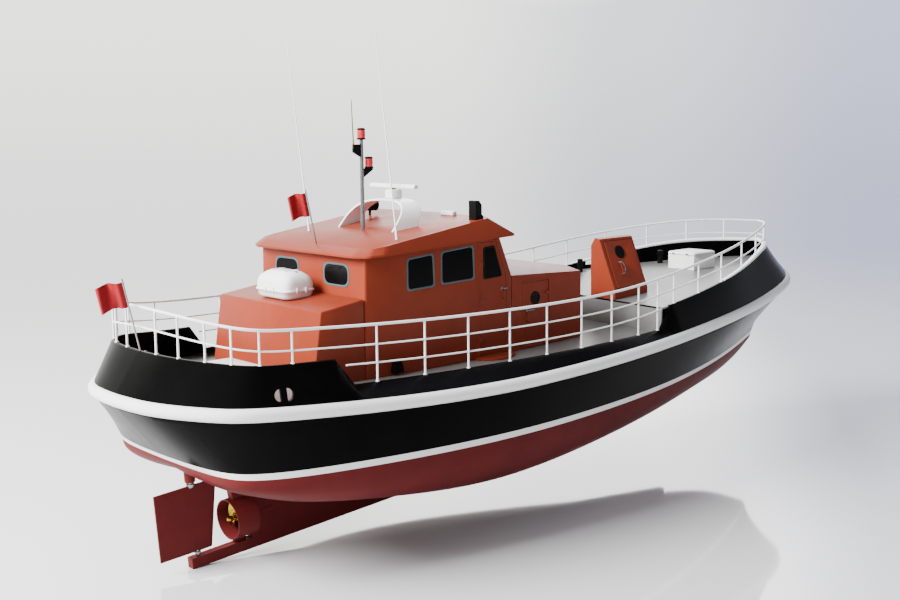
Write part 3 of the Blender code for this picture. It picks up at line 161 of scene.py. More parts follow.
class Nodes:
    """A node tree under construction."""

    def __init__(self, tree):
        self.tree = tree

    def node(self, kind, settings, values):
        """Settings first, a ramp's stops among them, then the values or links of the sockets."""
        made = self.tree.nodes.new(kind)
        for key, value in settings.items():
            if key == "stops":
                made.color_ramp.interpolation = "EASE"
                elements = made.color_ramp.elements
                while len(elements) < len(value):
                    elements.new(1.0)
                for element, (at, shade) in zip(elements, value):
                    element.position = at
                    element.color = (*shade, 1.0)
            else:
                setattr(made, key, value)
        for key, value in values.items():
            self.feed(made.inputs[key], value)
        return Made(self, made)

    def feed(self, socket, value):
        """Link a value into a socket, or set a constant on it."""
        if isinstance(value, Value):
            self.tree.links.new(value.socket, socket)
        elif isinstance(value, tuple) and len(value) == 3 and socket.type == "RGBA":
            socket.default_value = (*value, 1.0)
        else:
            socket.default_value = value


class Paint(Nodes):
    """A material with its Principled shader, painted by place on the object."""

    def __init__(self, name):
        self.name = name
        self.material = bpy.data.materials.new(name)
        self.material.use_nodes = True
        super().__init__(self.material.node_tree)
        self.shader = self.tree.nodes["Principled BSDF"]
        self.place = self.node("ShaderNodeTexCoord", {}, {}).out("Object")

    def set(self, **values):
        """Base_Color=... sets the shader's Base Color, and so on."""
        for key, value in values.items():
            self.feed(self.shader.inputs[key.replace("_", " ")], value)

    def noise(self, scale, detail=2.0, rough=0.5, stretch=(1.0, 1.0, 1.0)):
        """Noise by place on the object, from 0 to 1 with a mean near 0.5."""
        spread = self.node("ShaderNodeMapping", {}, {"Vector": self.place, "Scale": stretch}).out()
        values = {"Vector": spread, "Scale": scale, "Detail": detail, "Roughness": rough}
        return self.node("ShaderNodeTexNoise", {}, values).out()

    def mix(self, share, first, second):
        """The first colour at share 0, the second at share 1."""
        made = self.node("ShaderNodeMix", {"data_type": "RGBA"}, {}).node
        live = [socket for socket in made.inputs if socket.enabled]
        for socket, value in zip(live, (share, first, second)):
            self.feed(socket, value)
        return Value(self, next(socket for socket in made.outputs if socket.enabled))

    def bump(self, height, strength, distance):
        """Raise the surface where height is high; a finish's last step, so it returns the paint."""
        values = {"Height": height, "Strength": strength, "Distance": distance}
        self.set(Normal=self.node("ShaderNodeBump", {}, values).out())
        return self


FINISH = {}


def finish(paint, slot=None):
    """Keep a paint under its name, with the record's material slot that it belongs to."""
    FINISH[paint.name] = (paint.material, slot or paint.name)
    print("finish", paint.name, "of", len(paint.tree.nodes), "nodes")


# %% [markdown]
# Ship paint is rolled on in thick coats. It is glossy but never quite flat: a fine orange peel
# bends its reflections, and broad, faint clouds change its shade. One flat colour would look like
# plastic, so each paint mixes two near shades by a slow noise, lets a second noise vary the
# roughness, and bumps the surface with a fast one.


# %% Ship paints
CLOUDS = 0.6
PEEL_GRAIN = 70.0
PEEL_DEPTH = 0.002


def ship_paint(name, deep, light, rough, peel=0.12, gloss=0.5):
    """A rolled coat: two shades by a slow noise, roughness by a middle one, bump by a fast one."""
    paint = Paint(name)
    slow = paint.noise(CLOUDS, 4.0, 0.6)
    middle = paint.noise(CLOUDS * 9.0, 3.0, 0.6)
    fast = paint.noise(PEEL_GRAIN)
    shade = ((slow - 0.3) * 2.0 + (middle - 0.5) * 0.5).clipped()
    paint.set(Base_Color=paint.mix(shade, deep, light), Specular_IOR_Level=gloss)
    paint.set(Roughness=(rough + (middle - 0.5) * 0.14).clipped())
    return paint.bump(fast + slow * 0.4, peel, PEEL_DEPTH)


for name, deep, light, rough, peel, gloss in (
    ("black_paint", (0.0012, 0.0012, 0.0012), (0.0028, 0.0028, 0.0028), 0.24, 0.12, 0.035),
    ("antifouling", (0.085, 0.011, 0.011), (0.125, 0.017, 0.017), 0.5, 0.2, 0.06),
    ("white_paint", (0.82, 0.82, 0.81), (0.9, 0.9, 0.89), 0.3, 0.12, 0.5),
    ("rail_paint", (0.88, 0.88, 0.87), (0.94, 0.94, 0.93), 0.3, 0.05, 0.5),
    ("orange_paint", (0.20, 0.030, 0.014), (0.25, 0.040, 0.018), 0.33, 0.12, 0.12),
    ("moulded_white", (0.88, 0.88, 0.87), (0.94, 0.94, 0.93), 0.2, 0.04, 0.5),
    ("black_trim", (0.002, 0.002, 0.002), (0.005, 0.005, 0.005), 0.4, 0.1, 0.1),
):
    finish(ship_paint(name, deep, light, rough, peel, gloss))
rubber = ship_paint("rubber_frame", (0.045, 0.085, 0.095), (0.07, 0.12, 0.13), 0.5)
finish(rubber, "black_trim")

# %% [markdown]
# A deck is painted with grit in the coat, so that boots grip it. The grit could be modelled grain
# by grain, but it is finer than a millimetre. A fast noise with a hard threshold makes the raised
# specks instead, and a second noise, stretched along the deck, makes the scuffs.


# %% Deck coating
def deck_coating():
    """Grey deck paint: hard specks of grit in the bump, stretched scuffs in shade and roughness."""
    paint = Paint("deck_coating")
    specks = paint.noise(160.0, 1.0).above(0.58)
    scuffs = paint.noise(2.2, 5.0, 0.65, (0.4, 1.0, 1.0))
    shade = ((scuffs - 0.35) * 1.8).clipped()
    paint.set(Base_Color=paint.mix(shade, (0.15, 0.15, 0.145), (0.23, 0.23, 0.225)))
    paint.set(Roughness=(0.34 + specks * 0.12 + (scuffs - 0.5) * 0.2).clipped())
    return paint.bump(specks, 0.15, 0.001)


finish(deck_coating(), "rail_paint")

# %% [markdown]
# Brass and steel are smooth, and their life comes from small changes of roughness, as salt, fingers
# and polish leave them. A photograph of worn metal would do it too, but it would tile and blur; one
# noise for the stain and one for the grain follow the metal at any distance.


# %% Metals
METAL_GRAIN = 40.0


def metal(name, deep, light, rough):
    """Bare metal: two shades and a roughness that follow one noise."""
    paint = Paint(name)
    stain = paint.noise(METAL_GRAIN * 0.2, 4.0, 0.6)
    grain = paint.noise(METAL_GRAIN)
    paint.set(Base_Color=paint.mix(((stain - 0.35) * 2.0).clipped(), deep, light), Metallic=1.0)
    paint.set(Roughness=(rough + (stain - 0.5) * 0.25).clipped())
    return paint.bump(grain, 0.06, 0.001)


finish(metal("brass", (0.42, 0.27, 0.015), (0.75, 0.56, 0.06), 0.22))
finish(metal("steel", (0.28, 0.29, 0.30), (0.42, 0.43, 0.44), 0.3))

# %% [markdown]
# The windows look nearly black from outside, the lamps are ribbed red glass, and the flags are
# woven bunting. Clear glass would need a lit cabin behind it; instead the panes are a nearly black,
# smooth coat with faint smears, which paints the shade of the dark cabin into the glass. The lamp's
# ribs follow its height, and the threads follow the cloth's own map.


# %% Glass, lamps and cloth
RIBS_PER_RADIAN = 420.0
THREADS_PER_RADIAN = 900.0


def dark_glass():
    """Glass with the dark cabin's shade painted in: nearly black and very smooth, with faint
    smears.
    """
    paint = Paint("dark_glass")
    smear = paint.noise(6.0, 3.0, 0.6, (1.0, 1.0, 0.3))
    # the nearly black base colour is painted shade: the dark cabin seen through clear glass
    paint.set(Base_Color=(0.002, 0.002, 0.002), Specular_IOR_Level=0.1)
    paint.set(Roughness=(0.04 + smear * 0.07).clipped())
    return paint


def lamp_red():
    """Red glass with level ribs: bump = sine of the height."""
    paint = Paint("lamp_red")
    paint.set(Base_Color=(0.55, 0.004, 0.006), Roughness=0.12, Coat_Weight=1.0)
    paint.set(Emission_Color=(0.5, 0.0, 0.0), Emission_Strength=0.15)
    return paint.bump((paint.place.axis(2) * RIBS_PER_RADIAN).sine(), 0.4, 0.002)


def flag_cloth():
    """Plain red bunting: the product of two thread waves along the cloth's own UV map."""
    paint = Paint("flag_cloth")
    cloth = paint.node("ShaderNodeUVMap", {"uv_map": "cloth"}, {}).out()
    warp, weft = [(cloth.axis(axis) * THREADS_PER_RADIAN).sine() for axis in (0, 1)]
    patches = paint.noise(5.0, 3.0)
    paint.set(Base_Color=paint.mix(patches, (0.20, 0.007, 0.010), (0.32, 0.012, 0.016)))
    paint.set(Roughness=0.7, Sheen_Weight=0.05, Specular_IOR_Level=0.2)
    return paint.bump(warp * weft, 0.25, 0.0006)


for paint in (dark_glass(), lamp_red(), flag_cloth()):
    finish(paint)

# %% [markdown]
# Every new piece is a grid of points: rows and columns of a surface with two parameters. Modelling
# by hand would be quicker for one piece, but a formula can be changed by one number and repeated on
# the other side. One helper turns a grid into faces, merges its poles, points the faces outwards,
# and makes its edges smooth up to a stated angle and sharp beyond it.


# %% Grid to piece
MERGE = 0.0002


def grid_faces(rows, columns, ring_rows=False, ring_columns=False):
    """Four-cornered faces between neighbours of a row-major grid; a ring joins last to first."""
    i = np.arange(rows if ring_rows else rows - 1)[:, None]
    j = np.arange(columns if ring_columns else columns - 1)[None, :]
    near = (i % rows) * columns
    far = ((i + 1) % rows) * columns
    left = j % columns
    right = (j + 1) % columns
    corners = np.broadcast_arrays(near + left, near + right, far + right, far + left)
    return np.stack(corners, -1).reshape(-1, 4).tolist()


def tube(points, ring=False):
    """Faces of rows that close on themselves; a ring also joins its last row to its first."""
    return grid_faces(*points.shape[:2], ring, True)


def capped(points):
    """Faces of a tube whose first and last row are closed by one face each."""
    rows, columns = points.shape[:2]
    last = (rows - 1) * columns
    return tube(points) + [list(range(columns)), list(range(last, last + columns))]


def clean_mesh(name, points, faces, closed=True):
    """Points and faces as a mesh without doubles; a closed one has its faces pointed outwards."""
    mesh = bpy.data.meshes.new(name)
    mesh.from_pydata(points.reshape(-1, 3).tolist(), [], faces)
    work = bmesh.new()
    work.from_mesh(mesh)
    bmesh.ops.remove_doubles(work, verts=work.verts, dist=MERGE)
    bmesh.ops.dissolve_degenerate(work, edges=work.edges, dist=MERGE / 2)
    if closed:
        bmesh.ops.recalc_face_normals(work, faces=work.faces)
    work.to_mesh(mesh)
    work.free()
    return mesh


def settle(obj, look, body, stands_for=(), sharp=35.0):
    """Give an object its finish, its body and what it stands for."""
    mesh = obj.data
    material, slot = FINISH[look]
    mesh.materials.clear()
    mesh.materials.append(material)
    mesh.shade_smooth()
    mesh.set_sharp_from_angle(angle=math.radians(sharp))
    if obj.name not in bpy.context.scene.collection.objects:
        bpy.context.scene.collection.objects.link(obj)
    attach(obj, body)
    if stands_for:
        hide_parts(*stands_for)
    print(f"{obj.name}: {len(mesh.polygons)} faces of {look} on {body}")
    return obj


def add_piece(name, points, faces, look, body="hull", stands_for=(), sharp=35.0, closed=True):
    """Points and faces become an object that rides on a body, in the finish called look."""
    mesh = clean_mesh(name, points, faces, closed)
    return settle(bpy.data.objects.new(name, mesh), look, body, stands_for, sharp)


print("a grid of 3 by 4 points has", len(grid_faces(3, 4)), "faces")

# %% [markdown]
# Welded plate has holes with crisp edges and corners that are rolled to a small radius. Both are
# left to modifiers, because a hole or a radius in the grid itself would need hundreds of extra
# points. A hole is applied at once; a bevel stays live, so that its width can still be changed.


# %% Holes and soft edges
def cut_away(obj, points_of_holes):
    """Cut closed shapes, each given as rows of points, from a piece."""
    cutters = []
    for points in points_of_holes:
        cutter = bpy.data.objects.new("cutter", clean_mesh("cutter", points, capped(points)))
        bpy.context.scene.collection.objects.link(cutter)
        cutters.append(cutter)
        step = obj.modifiers.new("cut", "BOOLEAN")
        step.operation = "DIFFERENCE"
        step.solver = "EXACT"
        step.object = cutter
    graph = bpy.context.evaluated_depsgraph_get()
    mesh = bpy.data.meshes.new_from_object(obj.evaluated_get(graph))
    obj.modifiers.clear()
    obj.data = mesh
    for cutter in cutters:
        bpy.data.objects.remove(cutter)


SOFT_FROM = 35.0


def soften(obj, width, segments=3):
    """Round the sharp edges with a live bevel."""
    step = obj.modifiers.new("soft_edges", "BEVEL")
    step.width = width
    step.segments = segments
    step.limit_method = "ANGLE"
    step.angle_limit = math.radians(SOFT_FROM)
    step.harden_normals = True


print("soft edges start at", SOFT_FROM, "degrees")

# %% [markdown]
# A hull is faired from its lines. It could be drawn freehand as a subdivided cage, but its ends
# would stay lumpy. Here thirteen bent stations from the stern to the stem give the keel line, the
# waterline and the deck edge, and a natural cubic passes smoothly through each column.

# %% Hull lines
STATIONS = np.array(
    [
        (-7.22, -0.10, 2.0, -7.33, 0.00, -8.03, 0.00),
        (-7.05, -0.20, 2.2, -7.31, 0.80, -7.93, 0.80),
        (-6.75, -0.32, 2.6, -7.20, 1.50, -7.58, 1.45),
        (-6.35, -0.46, 2.8, -6.85, 1.88, -7.15, 1.84),
        (-5.60, -0.68, 2.8, -6.10, 2.17, -6.25, 2.12),
        (-4.25, -0.93, 2.6, -4.60, 2.46, -4.65, 2.44),
        (-2.40, -1.12, 2.4, -2.70, 2.58, -2.70, 2.61),
        (-0.40, -1.068, 2.2, -0.60, 2.40, -0.50, 2.56),
        (1.40, -0.942, 2.0, 1.40, 2.02, 1.60, 2.31),
        (3.00, -0.83, 1.8, 3.30, 1.46, 3.75, 1.88),
        (4.50, -0.72, 1.7, 4.90, 0.86, 5.50, 1.36),
        (5.60, -0.52, 1.6, 6.12, 0.34, 7.05, 0.72),
        (6.40, -0.22, 1.6, 6.88, 0.00, 8.06, 0.00),
    ]
)
BULWARK_PLAN = np.array(
    [
        (-7.66, 0.00),
        (-7.59, 0.80),
        (-7.30, 1.45),
        (-6.88, 1.80),
        (-6.10, 1.90),
        (-4.65, 2.13),
        (-2.70, 2.35),
        (-0.50, 2.36),
        (1.45, 2.16),
        (3.50, 1.86),
        (5.25, 1.28),
        (6.35, 0.68),
        (7.10, 0.00),
    ]
)
BULWARK_HIGH = (1.60, 1.60, 1.57, 1.53, 1.49, 1.45, 1.40, 1.40, 1.50, 1.74, 1.99, 2.05, 2.04)
RAIL_HEIGHT = (2.22, 2.18, 2.08, 2.00, 1.94, 1.89, 1.87, 1.89, 2.02, 2.26, 2.44, 2.48, 2.45)
LAST = len(STATIONS) - 1.0
MIRROR = np.array([1.0, -1.0, 1.0])


def cubic(values):
    """A natural cubic through evenly spaced values: between two of them it is their straight mix,
    plus (v^3 - v) and (u^3 - u) times the second derivatives over six, where u + v = 1."""
    values = np.asarray(values, float)
    n = len(values)
    system = 4.0 * np.eye(n) + np.eye(n, k=1) + np.eye(n, k=-1)
    system[0] = system[-1] = 0.0
    system[0, 0] = system[-1, -1] = 1.0
    right = np.zeros(n)
    right[1:-1] = 6.0 * (values[:-2] - 2.0 * values[1:-1] + values[2:])
    bend = np.linalg.solve(system, right)

    def at(t):
        t = np.asarray(t, float)
        i = np.clip(np.floor(t).astype(int), 0, n - 2)
        u = t - i
        v = 1.0 - u
        line = values[i] * v + values[i + 1] * u
        return line + ((v**3 - v) * bend[i] + (u**3 - u) * bend[i + 1]) / 6.0

    return at


keel_x, keel_z, fullness, water_x, water_y, edge_x, edge_y = [cubic(c) for c in STATIONS.T]
plan_x, plan_y = [cubic(c) for c in BULWARK_PLAN.T]
high_at, rail_at = cubic(BULWARK_HIGH), cubic(RAIL_HEIGHT)


def deck_edge(t):
    """The deck's edge in plan, as (x, y) of the port side."""
    return np.stack([edge_x(t), np.maximum(edge_y(t), 0.0)], -1)


def bulwark_plan(t):
    """The bulwark's top edge in plan, as (x, y) of the port side."""
    return np.stack([plan_x(t), np.maximum(plan_y(t), 0.0)], -1)


def sheer(x):
    """The height of the rub rail's middle: low amidships, rising to both ends."""
    fore = 0.80 + 0.45 * (np.maximum(x + 3.0, 0.0) / 11.15) ** 1.4
    aft = 0.80 + 0.17 * ((-3.0 - x) / 5.1) ** 2
    return np.where(x > -3.0, fore, aft)


def inboard(t):
    """The level normal of the deck edge that points inboard on the port side."""
    ahead = deck_edge(np.minimum(t + 0.02, LAST)) - deck_edge(np.maximum(t - 0.02, 0.0))
    normal = np.stack([ahead[..., 1], -ahead[..., 0]], -1)
    normal /= np.linalg.norm(normal, axis=-1, keepdims=True)
    end = (t < 0.001) | (t > LAST - 0.001)
    normal[end] = np.stack([np.where(t[end] < 6.0, 1.0, -1.0), np.zeros(end.sum())], -1)
    return normal


def station_of(curve, x):
    """The station at which a plan curve reaches x, by halving."""
    low, high = 0.0, LAST
    for _ in range(40):
        middle = (low + high) / 2
        if curve(np.array([middle]))[0, 0] < x:
            low = middle
        else:
            high = middle
    return (low + high) / 2


STEP_AFT = (-5.76, -5.46)
STEP_FORE = (0.98, 1.26)
step_t = [station_of(bulwark_plan, x) for x in (*STEP_AFT, *STEP_FORE)]
T = np.unique(np.concatenate([np.linspace(0.0, LAST, 241), step_t]))
print("stations along the hull:", len(T))

# %% [markdown]
# The sides go straight from the waterline to the strake behind the fender, and flare in the bow.
# The bottom is a superellipse between keel line and waterline, because one power per station turns
# a round bilge into a flat floor. All three skins are closed, so that each has an inside and an
# outside everywhere.

# %% Hull plating
STRIPE_TOP = 0.09
STRAKE = 0.115
DECK_OVER_SHEER = 0.1
BULWARK_THICK = 0.06
GAP = 0.0003


def side_points(t, share_of_height):
    """Waterline to deck edge, mixed by height share to the power 1 + 0.35 (t / last)^3."""
    top = deck_edge(t)[:, None, :]
    low = np.stack([water_x(t), np.maximum(water_y(t), 0.0)], -1)[:, None, :]
    knuckle = (sheer(edge_x(t)) - STRAKE)[:, None]
    z = share_of_height
    mix = np.clip(z / knuckle, 0.0, 1.0) ** (1.0 + 0.35 * (t[:, None] / LAST) ** 3)
    plan = low + (top - low) * mix[..., None]
    return np.concatenate([plan, z[..., None]], -1)


def hull_piece(name, port, look, stands_for, ring=False):
    """Port points and their mirror image, as a closed skin or as a ring round the boat."""
    if ring:
        points = all_round(port)
    else:
        points = np.concatenate([port * MIRROR, port[:, ::-1]], 1)
    return add_piece(name, points, tube(points, ring), look, stands_for=stands_for)


def all_round(port):
    """Rows for the starboard side going forward, then rows for the port side coming aft."""
    return np.concatenate([port * MIRROR, port[-2:0:-1]])


edge_sheer = sheer(edge_x(T))[:, None]
share = np.linspace(0.0, 1.0, 15)[None, :]
black_low = STRIPE_TOP + GAP
black_high = edge_sheer - STRAKE
plate_edge = edge_sheer + DECK_OVER_SHEER - 0.02
levels = np.concatenate([black_low + (black_high - black_low) * share, plate_edge], 1)
hull_piece("side_plating", side_points(T, levels), "black_paint", ["hull_topsides"])
stripe_levels = np.broadcast_to(np.array([GAP, 0.03, 0.06, STRIPE_TOP]), (len(T), 4))
hull_piece("stripe_band", side_points(T, stripe_levels), "white_paint", ["boot_stripe"])


def bottom_points(t, angle):
    """x and y follow sin(a)^(2/n) from the keel to the waterline, z follows cos(a)^(2/n)."""
    power = 2.0 / fullness(t)[:, None]
    out = np.sin(angle)[None, :] ** power
    down = np.maximum(np.cos(angle), 0.0)[None, :] ** power
    x = keel_x(t)[:, None] * (1.0 - out) + water_x(t)[:, None] * out
    y = np.maximum(water_y(t), 0.0)[:, None] * out
    return np.stack([x, y, keel_z(t)[:, None] * down], -1)


turn_angles = (math.pi / 2) * np.linspace(0.0, 1.0, 25) ** 0.9
skin = bottom_points(T, turn_angles)
bottom = hull_piece("bottom_plating", skin, "antifouling", ["hull_bottom"])
print("bottom reaches down to", round(min(v.co.z for v in bottom.data.vertices), 2))

# %% [markdown]
# The fender is a fat half-round bar that runs right round the boat at deck-edge height. A bevelled
# curve would twist at the bow, where the edge turns sharply; a half circle carried along the deck
# edge, square to it in plan, stays upright.


# %% Fender
def section_points(t, out, up):
    """A section carried round the deck edge: out is the way outboard and up is the height."""
    normal = -inboard(t)
    plan = deck_edge(t)[:, None, :] + normal[:, None, :] * out[..., None]
    plan[..., 1] = np.maximum(plan[..., 1], 0.0)
    return np.concatenate([plan, up[..., None]], -1)


FENDER_RADIUS = 0.095
half_turn = np.linspace(0.0, math.pi, 17)[None, :]
flat = np.zeros((len(T), 1))
fender_out = GAP + FENDER_RADIUS * np.sin(half_turn) + flat
fender_up = edge_sheer + FENDER_RADIUS * np.cos(half_turn)
hull_piece("fender", section_points(T, fender_out, fender_up), "white_paint", ["rub_rail"], True)

# %% [markdown]
# The bulwark is the plating that stands up round the deck. It leans in, is high at the stern and
# the bow, and drops by two slopes to a low run amidships. Two half-moon fairleads pierce each
# quarter, for mooring ropes, and a square port pierces the port bow. The holes are cut by blocks of
# the same outline, which leaves a crisp edge in the plate's whole thickness.


# %% Bulwark
LOW_RUN = 1.09
EDGE_ROUND = 0.014


def bulwark_edges(t):
    """Outer foot and outer top of the plating, as (t, 3) arrays."""
    edge = deck_edge(t)
    foot = np.concatenate([edge, (sheer(edge[:, 0]) + DECK_OVER_SHEER)[:, None]], 1)
    plan = bulwark_plan(t)
    high = high_at(t)
    down = np.clip((plan[:, 0] - STEP_AFT[0]) / (STEP_AFT[1] - STEP_AFT[0]), 0.0, 1.0)
    up = np.clip((STEP_FORE[1] - plan[:, 0]) / (STEP_FORE[1] - STEP_FORE[0]), 0.0, 1.0)
    low = np.minimum(down, up)
    top = np.concatenate([plan, (high + (LOW_RUN - high) * low)[:, None]], 1)
    return foot, top


def bulwark_section(t):
    """Up the outer face, over an edge rounded by two quarter circles, down the inner face."""
    foot, top = bulwark_edges(t)
    across = np.concatenate([inboard(t) * BULWARK_THICK, np.zeros((len(t), 1))], 1)
    rise = top - foot
    length = np.linalg.norm(rise, axis=1, keepdims=True)
    part = EDGE_ROUND / BULWARK_THICK
    rows = [foot + rise * s for s in (0.0, 0.33, 0.66)]
    for corner, centre in ((math.pi, part), (math.pi / 2, 1.0 - part)):
        for turned_by in np.linspace(0.0, 1.0, 4):
            a = corner - turned_by * math.pi / 2
            sideways = across * (centre + part * math.cos(a))
            rows.append(top + sideways - rise / length * EDGE_ROUND * (1.0 - math.sin(a)))
    rows += [foot + across + rise * s for s in (0.66, 0.33, 0.0)]
    points = np.stack(rows, 1)
    points[..., 1] = np.maximum(points[..., 1], 0.0)
    return points


def half_moon(facing, side):
    """A D-shaped block through the plating: a half disc whose round side faces aft or forward."""
    foot, top = bulwark_edges(np.array([FAIRLEAD_T]))
    centre = foot[0] + (top[0] - foot[0]) * 0.27
    near = deck_edge(np.array([FAIRLEAD_T - 0.05, FAIRLEAD_T + 0.05]))
    ahead = (near[1] - near[0]) / np.linalg.norm(near[1] - near[0])
    a = np.linspace(-math.pi / 2, math.pi / 2, 17)
    along = facing * (HALF_POST + FAIRLEAD_RADIUS * np.cos(a) * 1.05)
    along = np.concatenate([along, [facing * HALF_POST] * 2])
    up = FAIRLEAD_RADIUS * np.concatenate([np.sin(a), [1.0, -1.0]])
    rows = []
    for depth in (-0.25, 0.25):
        x = centre[0] + ahead[0] * along - ahead[1] * depth
        y = centre[1] + ahead[1] * along + ahead[0] * depth
        rows.append(np.stack([x, side * y, centre[2] + up], -1))
    return np.stack(rows)


def block(low, high):
    """The eight corners of a box, as its aft and its fore face."""
    face = ((low[1], low[2]), (high[1], low[2]), (high[1], high[2]), (low[1], high[2]))
    return np.array([[(x, y, z) for y, z in face] for x in (low[0], high[0])])


FAIRLEAD_T = 3.61
FAIRLEAD_RADIUS = 0.085
HALF_POST = 0.045
plating = hull_piece("bulwark_plating", bulwark_section(T), "black_paint", ["bulwark"], True)
holes = [half_moon(facing, side) for side in (-1, 1) for facing in (-1, 1)]
holes.append(block((3.55, 1.5, 1.66), (3.9, 2.6, 1.8)))
cut_away(plating, holes)
settle(plating, "black_paint", "hull", ["bulwark"])

# %% [markdown]
# The decks are flat plates with a low ridge on the centreline, so that water runs off. The
# foredeck stands higher and ends aft in a bulkhead, the break of the deck. One plate cut from a
# block would do, but a plate drawn from its edge meets the bulwark exactly at every station.

# %% Decks
BREAK_X = 1.04
PLATE = 0.03


def foredeck_height(x):
    """z = 1.46 + 0.055 r (1 - r / 16), where r is the run forward of the break."""
    run = np.maximum(x - BREAK_X, 0.0)
    return 1.46 + 0.055 * run * (1.0 - run / 16.0)


def ridge_plate(name, edge, ridge_rise):
    """A plate from edge to edge over a ridge, from its port edge's points and their mirror."""
    ridge = edge[:, 2] + ridge_rise * np.minimum(edge[:, 1] / 2.0, 1.0)
    crown = np.stack([edge[:, 0], np.zeros(len(edge)), ridge], 1)
    under = np.array([0.0, 0.0, PLATE])
    star = edge * MIRROR
    points = np.stack([star, crown, edge, edge - under, crown - under, star - under], 1)
    return add_piece(name, points, capped(points), "deck_coating", sharp=20.0)


margin = side_points(T, edge_sheer + DECK_OVER_SHEER)[:, 0]
margin[:, :2] += inboard(T) * (BULWARK_THICK + 0.02)
margin[:, 1] = np.maximum(margin[:, 1], 0.0)
aft_part = margin[:, 0] < BREAK_X + 0.3
ridge_plate("main_deck", margin[aft_part], 0.06)


def foredeck_edge(t):
    """Where the foredeck meets the middle of the bulwark's plating."""
    foot, top = bulwark_edges(t)
    top[:, 2] = high_at(t)
    height = foredeck_height(plan_x(t))
    rise = np.clip((height - foot[:, 2]) / (top[:, 2] - foot[:, 2]), 0.0, 1.0)[:, None]
    point = foot + (top - foot) * rise
    point[:, :2] += inboard(t) * BULWARK_THICK / 2
    point[:, 1] = np.maximum(point[:, 1], 0.0)
    point[:, 2] = height
    return point


fore_t = np.linspace(station_of(lambda t: foredeck_edge(t)[:, :2], BREAK_X), LAST, 121)
fore_edge = foredeck_edge(fore_t)
ridge_plate("foredeck", fore_edge, 0.05)
_, corner_y, corner_z = fore_edge[0]
half = corner_y - 0.02
front = [(-half, 0.8), (half, 0.8), (half, corner_z), (0, corner_z + 0.05), (-half, corner_z)]
bulkhead = np.array([[(x, y, z) for y, z in front] for x in (BREAK_X, BREAK_X + PLATE)])
add_piece("break_bulkhead", bulkhead, capped(bulkhead), "deck_coating")
print("foredeck at the break:", round(corner_z, 2), "m above the water")

# %% [markdown]
# Below the waterline a flat deadwood joins the hull to its straight keel. A steel tube carries the
# rudder's stock down through the counter, and a boss carries the propeller's shaft. Shaft and
# stock lean with the keel, so everything on them is placed by two leaning directions and nothing
# has to be turned afterwards.

# %% Points along the shaft and the rudder's stock
KEEL_RISE = 0.07
KEEL_WIDTH = 0.14
AHEAD = np.array([1.0, 0.0, KEEL_RISE]) / math.hypot(1.0, KEEL_RISE)
UPWARD = np.array([-KEEL_RISE, 0.0, 1.0]) / math.hypot(1.0, KEEL_RISE)
ACROSS = np.array([0.0, 1.0, 0.0])
SHAFT = np.array([-6.2, 0.0, -1.10])
STOCK = np.array([-6.88, 0.0, -1.49])
NOZZLE_CENTRE = SHAFT + AHEAD * 0.03
NOZZLE_RADIUS = 0.31
NOZZLE_HALF = 0.185


def turned(profile, start, axis, side, around):
    """Turn (radius, height) pairs about an axis: start + axis h + r (side cos a + third sin a)."""
    profile = np.asarray(profile, float)
    third = np.cross(axis, side)
    a = np.linspace(0.0, 2 * math.pi, around, endpoint=False)[None, :, None]
    r = profile[:, 0][:, None, None]
    h = profile[:, 1][:, None, None]
    return start + axis * h + r * (side * np.cos(a) + third * np.sin(a))


def turned_piece(
    name, profile, start, axis, side, look, body="hull", stands_for=(), around=64, ring=False
):
    """A turned profile as a piece; the profile of a ring closes on itself."""
    points = turned(profile, start, axis, side, around)
    return add_piece(name, points, tube(points, ring), look, body, stands_for)


def rod_profile(radius, length, edge=0.004):
    """A round bar with both ends chamfered by edge."""
    low = [(0, 0), (radius - edge, 0), (radius, edge)]
    return low + [(radius, length - edge), (radius - edge, length), (0, length)]


def prism(name, outline, low_y, high_y, look, body="hull", edge=0.006, stands_for=()):
    """A side view outline of (x, z) points, drawn between two values of y, with rounded edges."""
    flat = np.array([(x, 0.0, z) for x, z in outline])
    points = np.stack([flat + ACROSS * low_y, flat + ACROSS * high_y])
    obj = add_piece(name, points, capped(points), look, body, stands_for)
    soften(obj, edge)


def keel_top(x):
    """The keel bar's upper face: its heel, its rise forward and its height."""
    return HEEL_Z + KEEL_RISE * (x - HEEL_X) + 0.16


nozzle_aft_top = NOZZLE_CENTRE - AHEAD * NOZZLE_HALF + UPWARD * (NOZZLE_RADIUS - 0.012)
nozzle_fore_top = NOZZLE_CENTRE + AHEAD * (NOZZLE_HALF - 0.004) + UPWARD * (NOZZLE_RADIUS - 0.012)
nozzle_fore_low = NOZZLE_CENTRE + AHEAD * (NOZZLE_HALF + 0.002) - UPWARD * NOZZLE_RADIUS
deadwood = [
    (3.9, keel_top(3.9) - 0.01),
    (3.9, keel_top(3.9) + 0.05),
    (-2.0, -0.75),
    (-5.0, -0.35),
    (-6.42, -0.38),
    (-6.33, -0.62),
    (nozzle_aft_top[0] + 0.08, nozzle_aft_top[2] + 0.006),
    (nozzle_fore_top[0], nozzle_fore_top[2]),
    (nozzle_fore_low[0] - 0.02, nozzle_fore_low[2]),
    (nozzle_fore_low[0] - 0.02, keel_top(nozzle_fore_low[0]) - 0.01),
]
prism("deadwood", deadwood, -KEEL_WIDTH / 2, KEEL_WIDTH / 2, "antifouling", edge=0.008)
tube_foot = STOCK + UPWARD * 1.085
stock_tube = rod_profile(0.078, 0.42, 0.008)
turned_piece("stock_tube", stock_tube, tube_foot, UPWARD, ACROSS, "antifouling")
boss = [(0, 0.2), (0.055, 0.2), (0.075, 0.3), (0.08, 0.6), (0, 0.6)]
turned_piece("stern_boss", boss, SHAFT, AHEAD, ACROSS, "antifouling")

# %% [markdown]
# The keel, and later the deckhouse, keep the shape of their CAD solids. Their bare edges would look
# knife-sharp, so a copy is merged, its flat faces are joined, and a small bevel rounds the edges.


# %% Copies of CAD solids with softened edges
FLAT = math.radians(0.6)


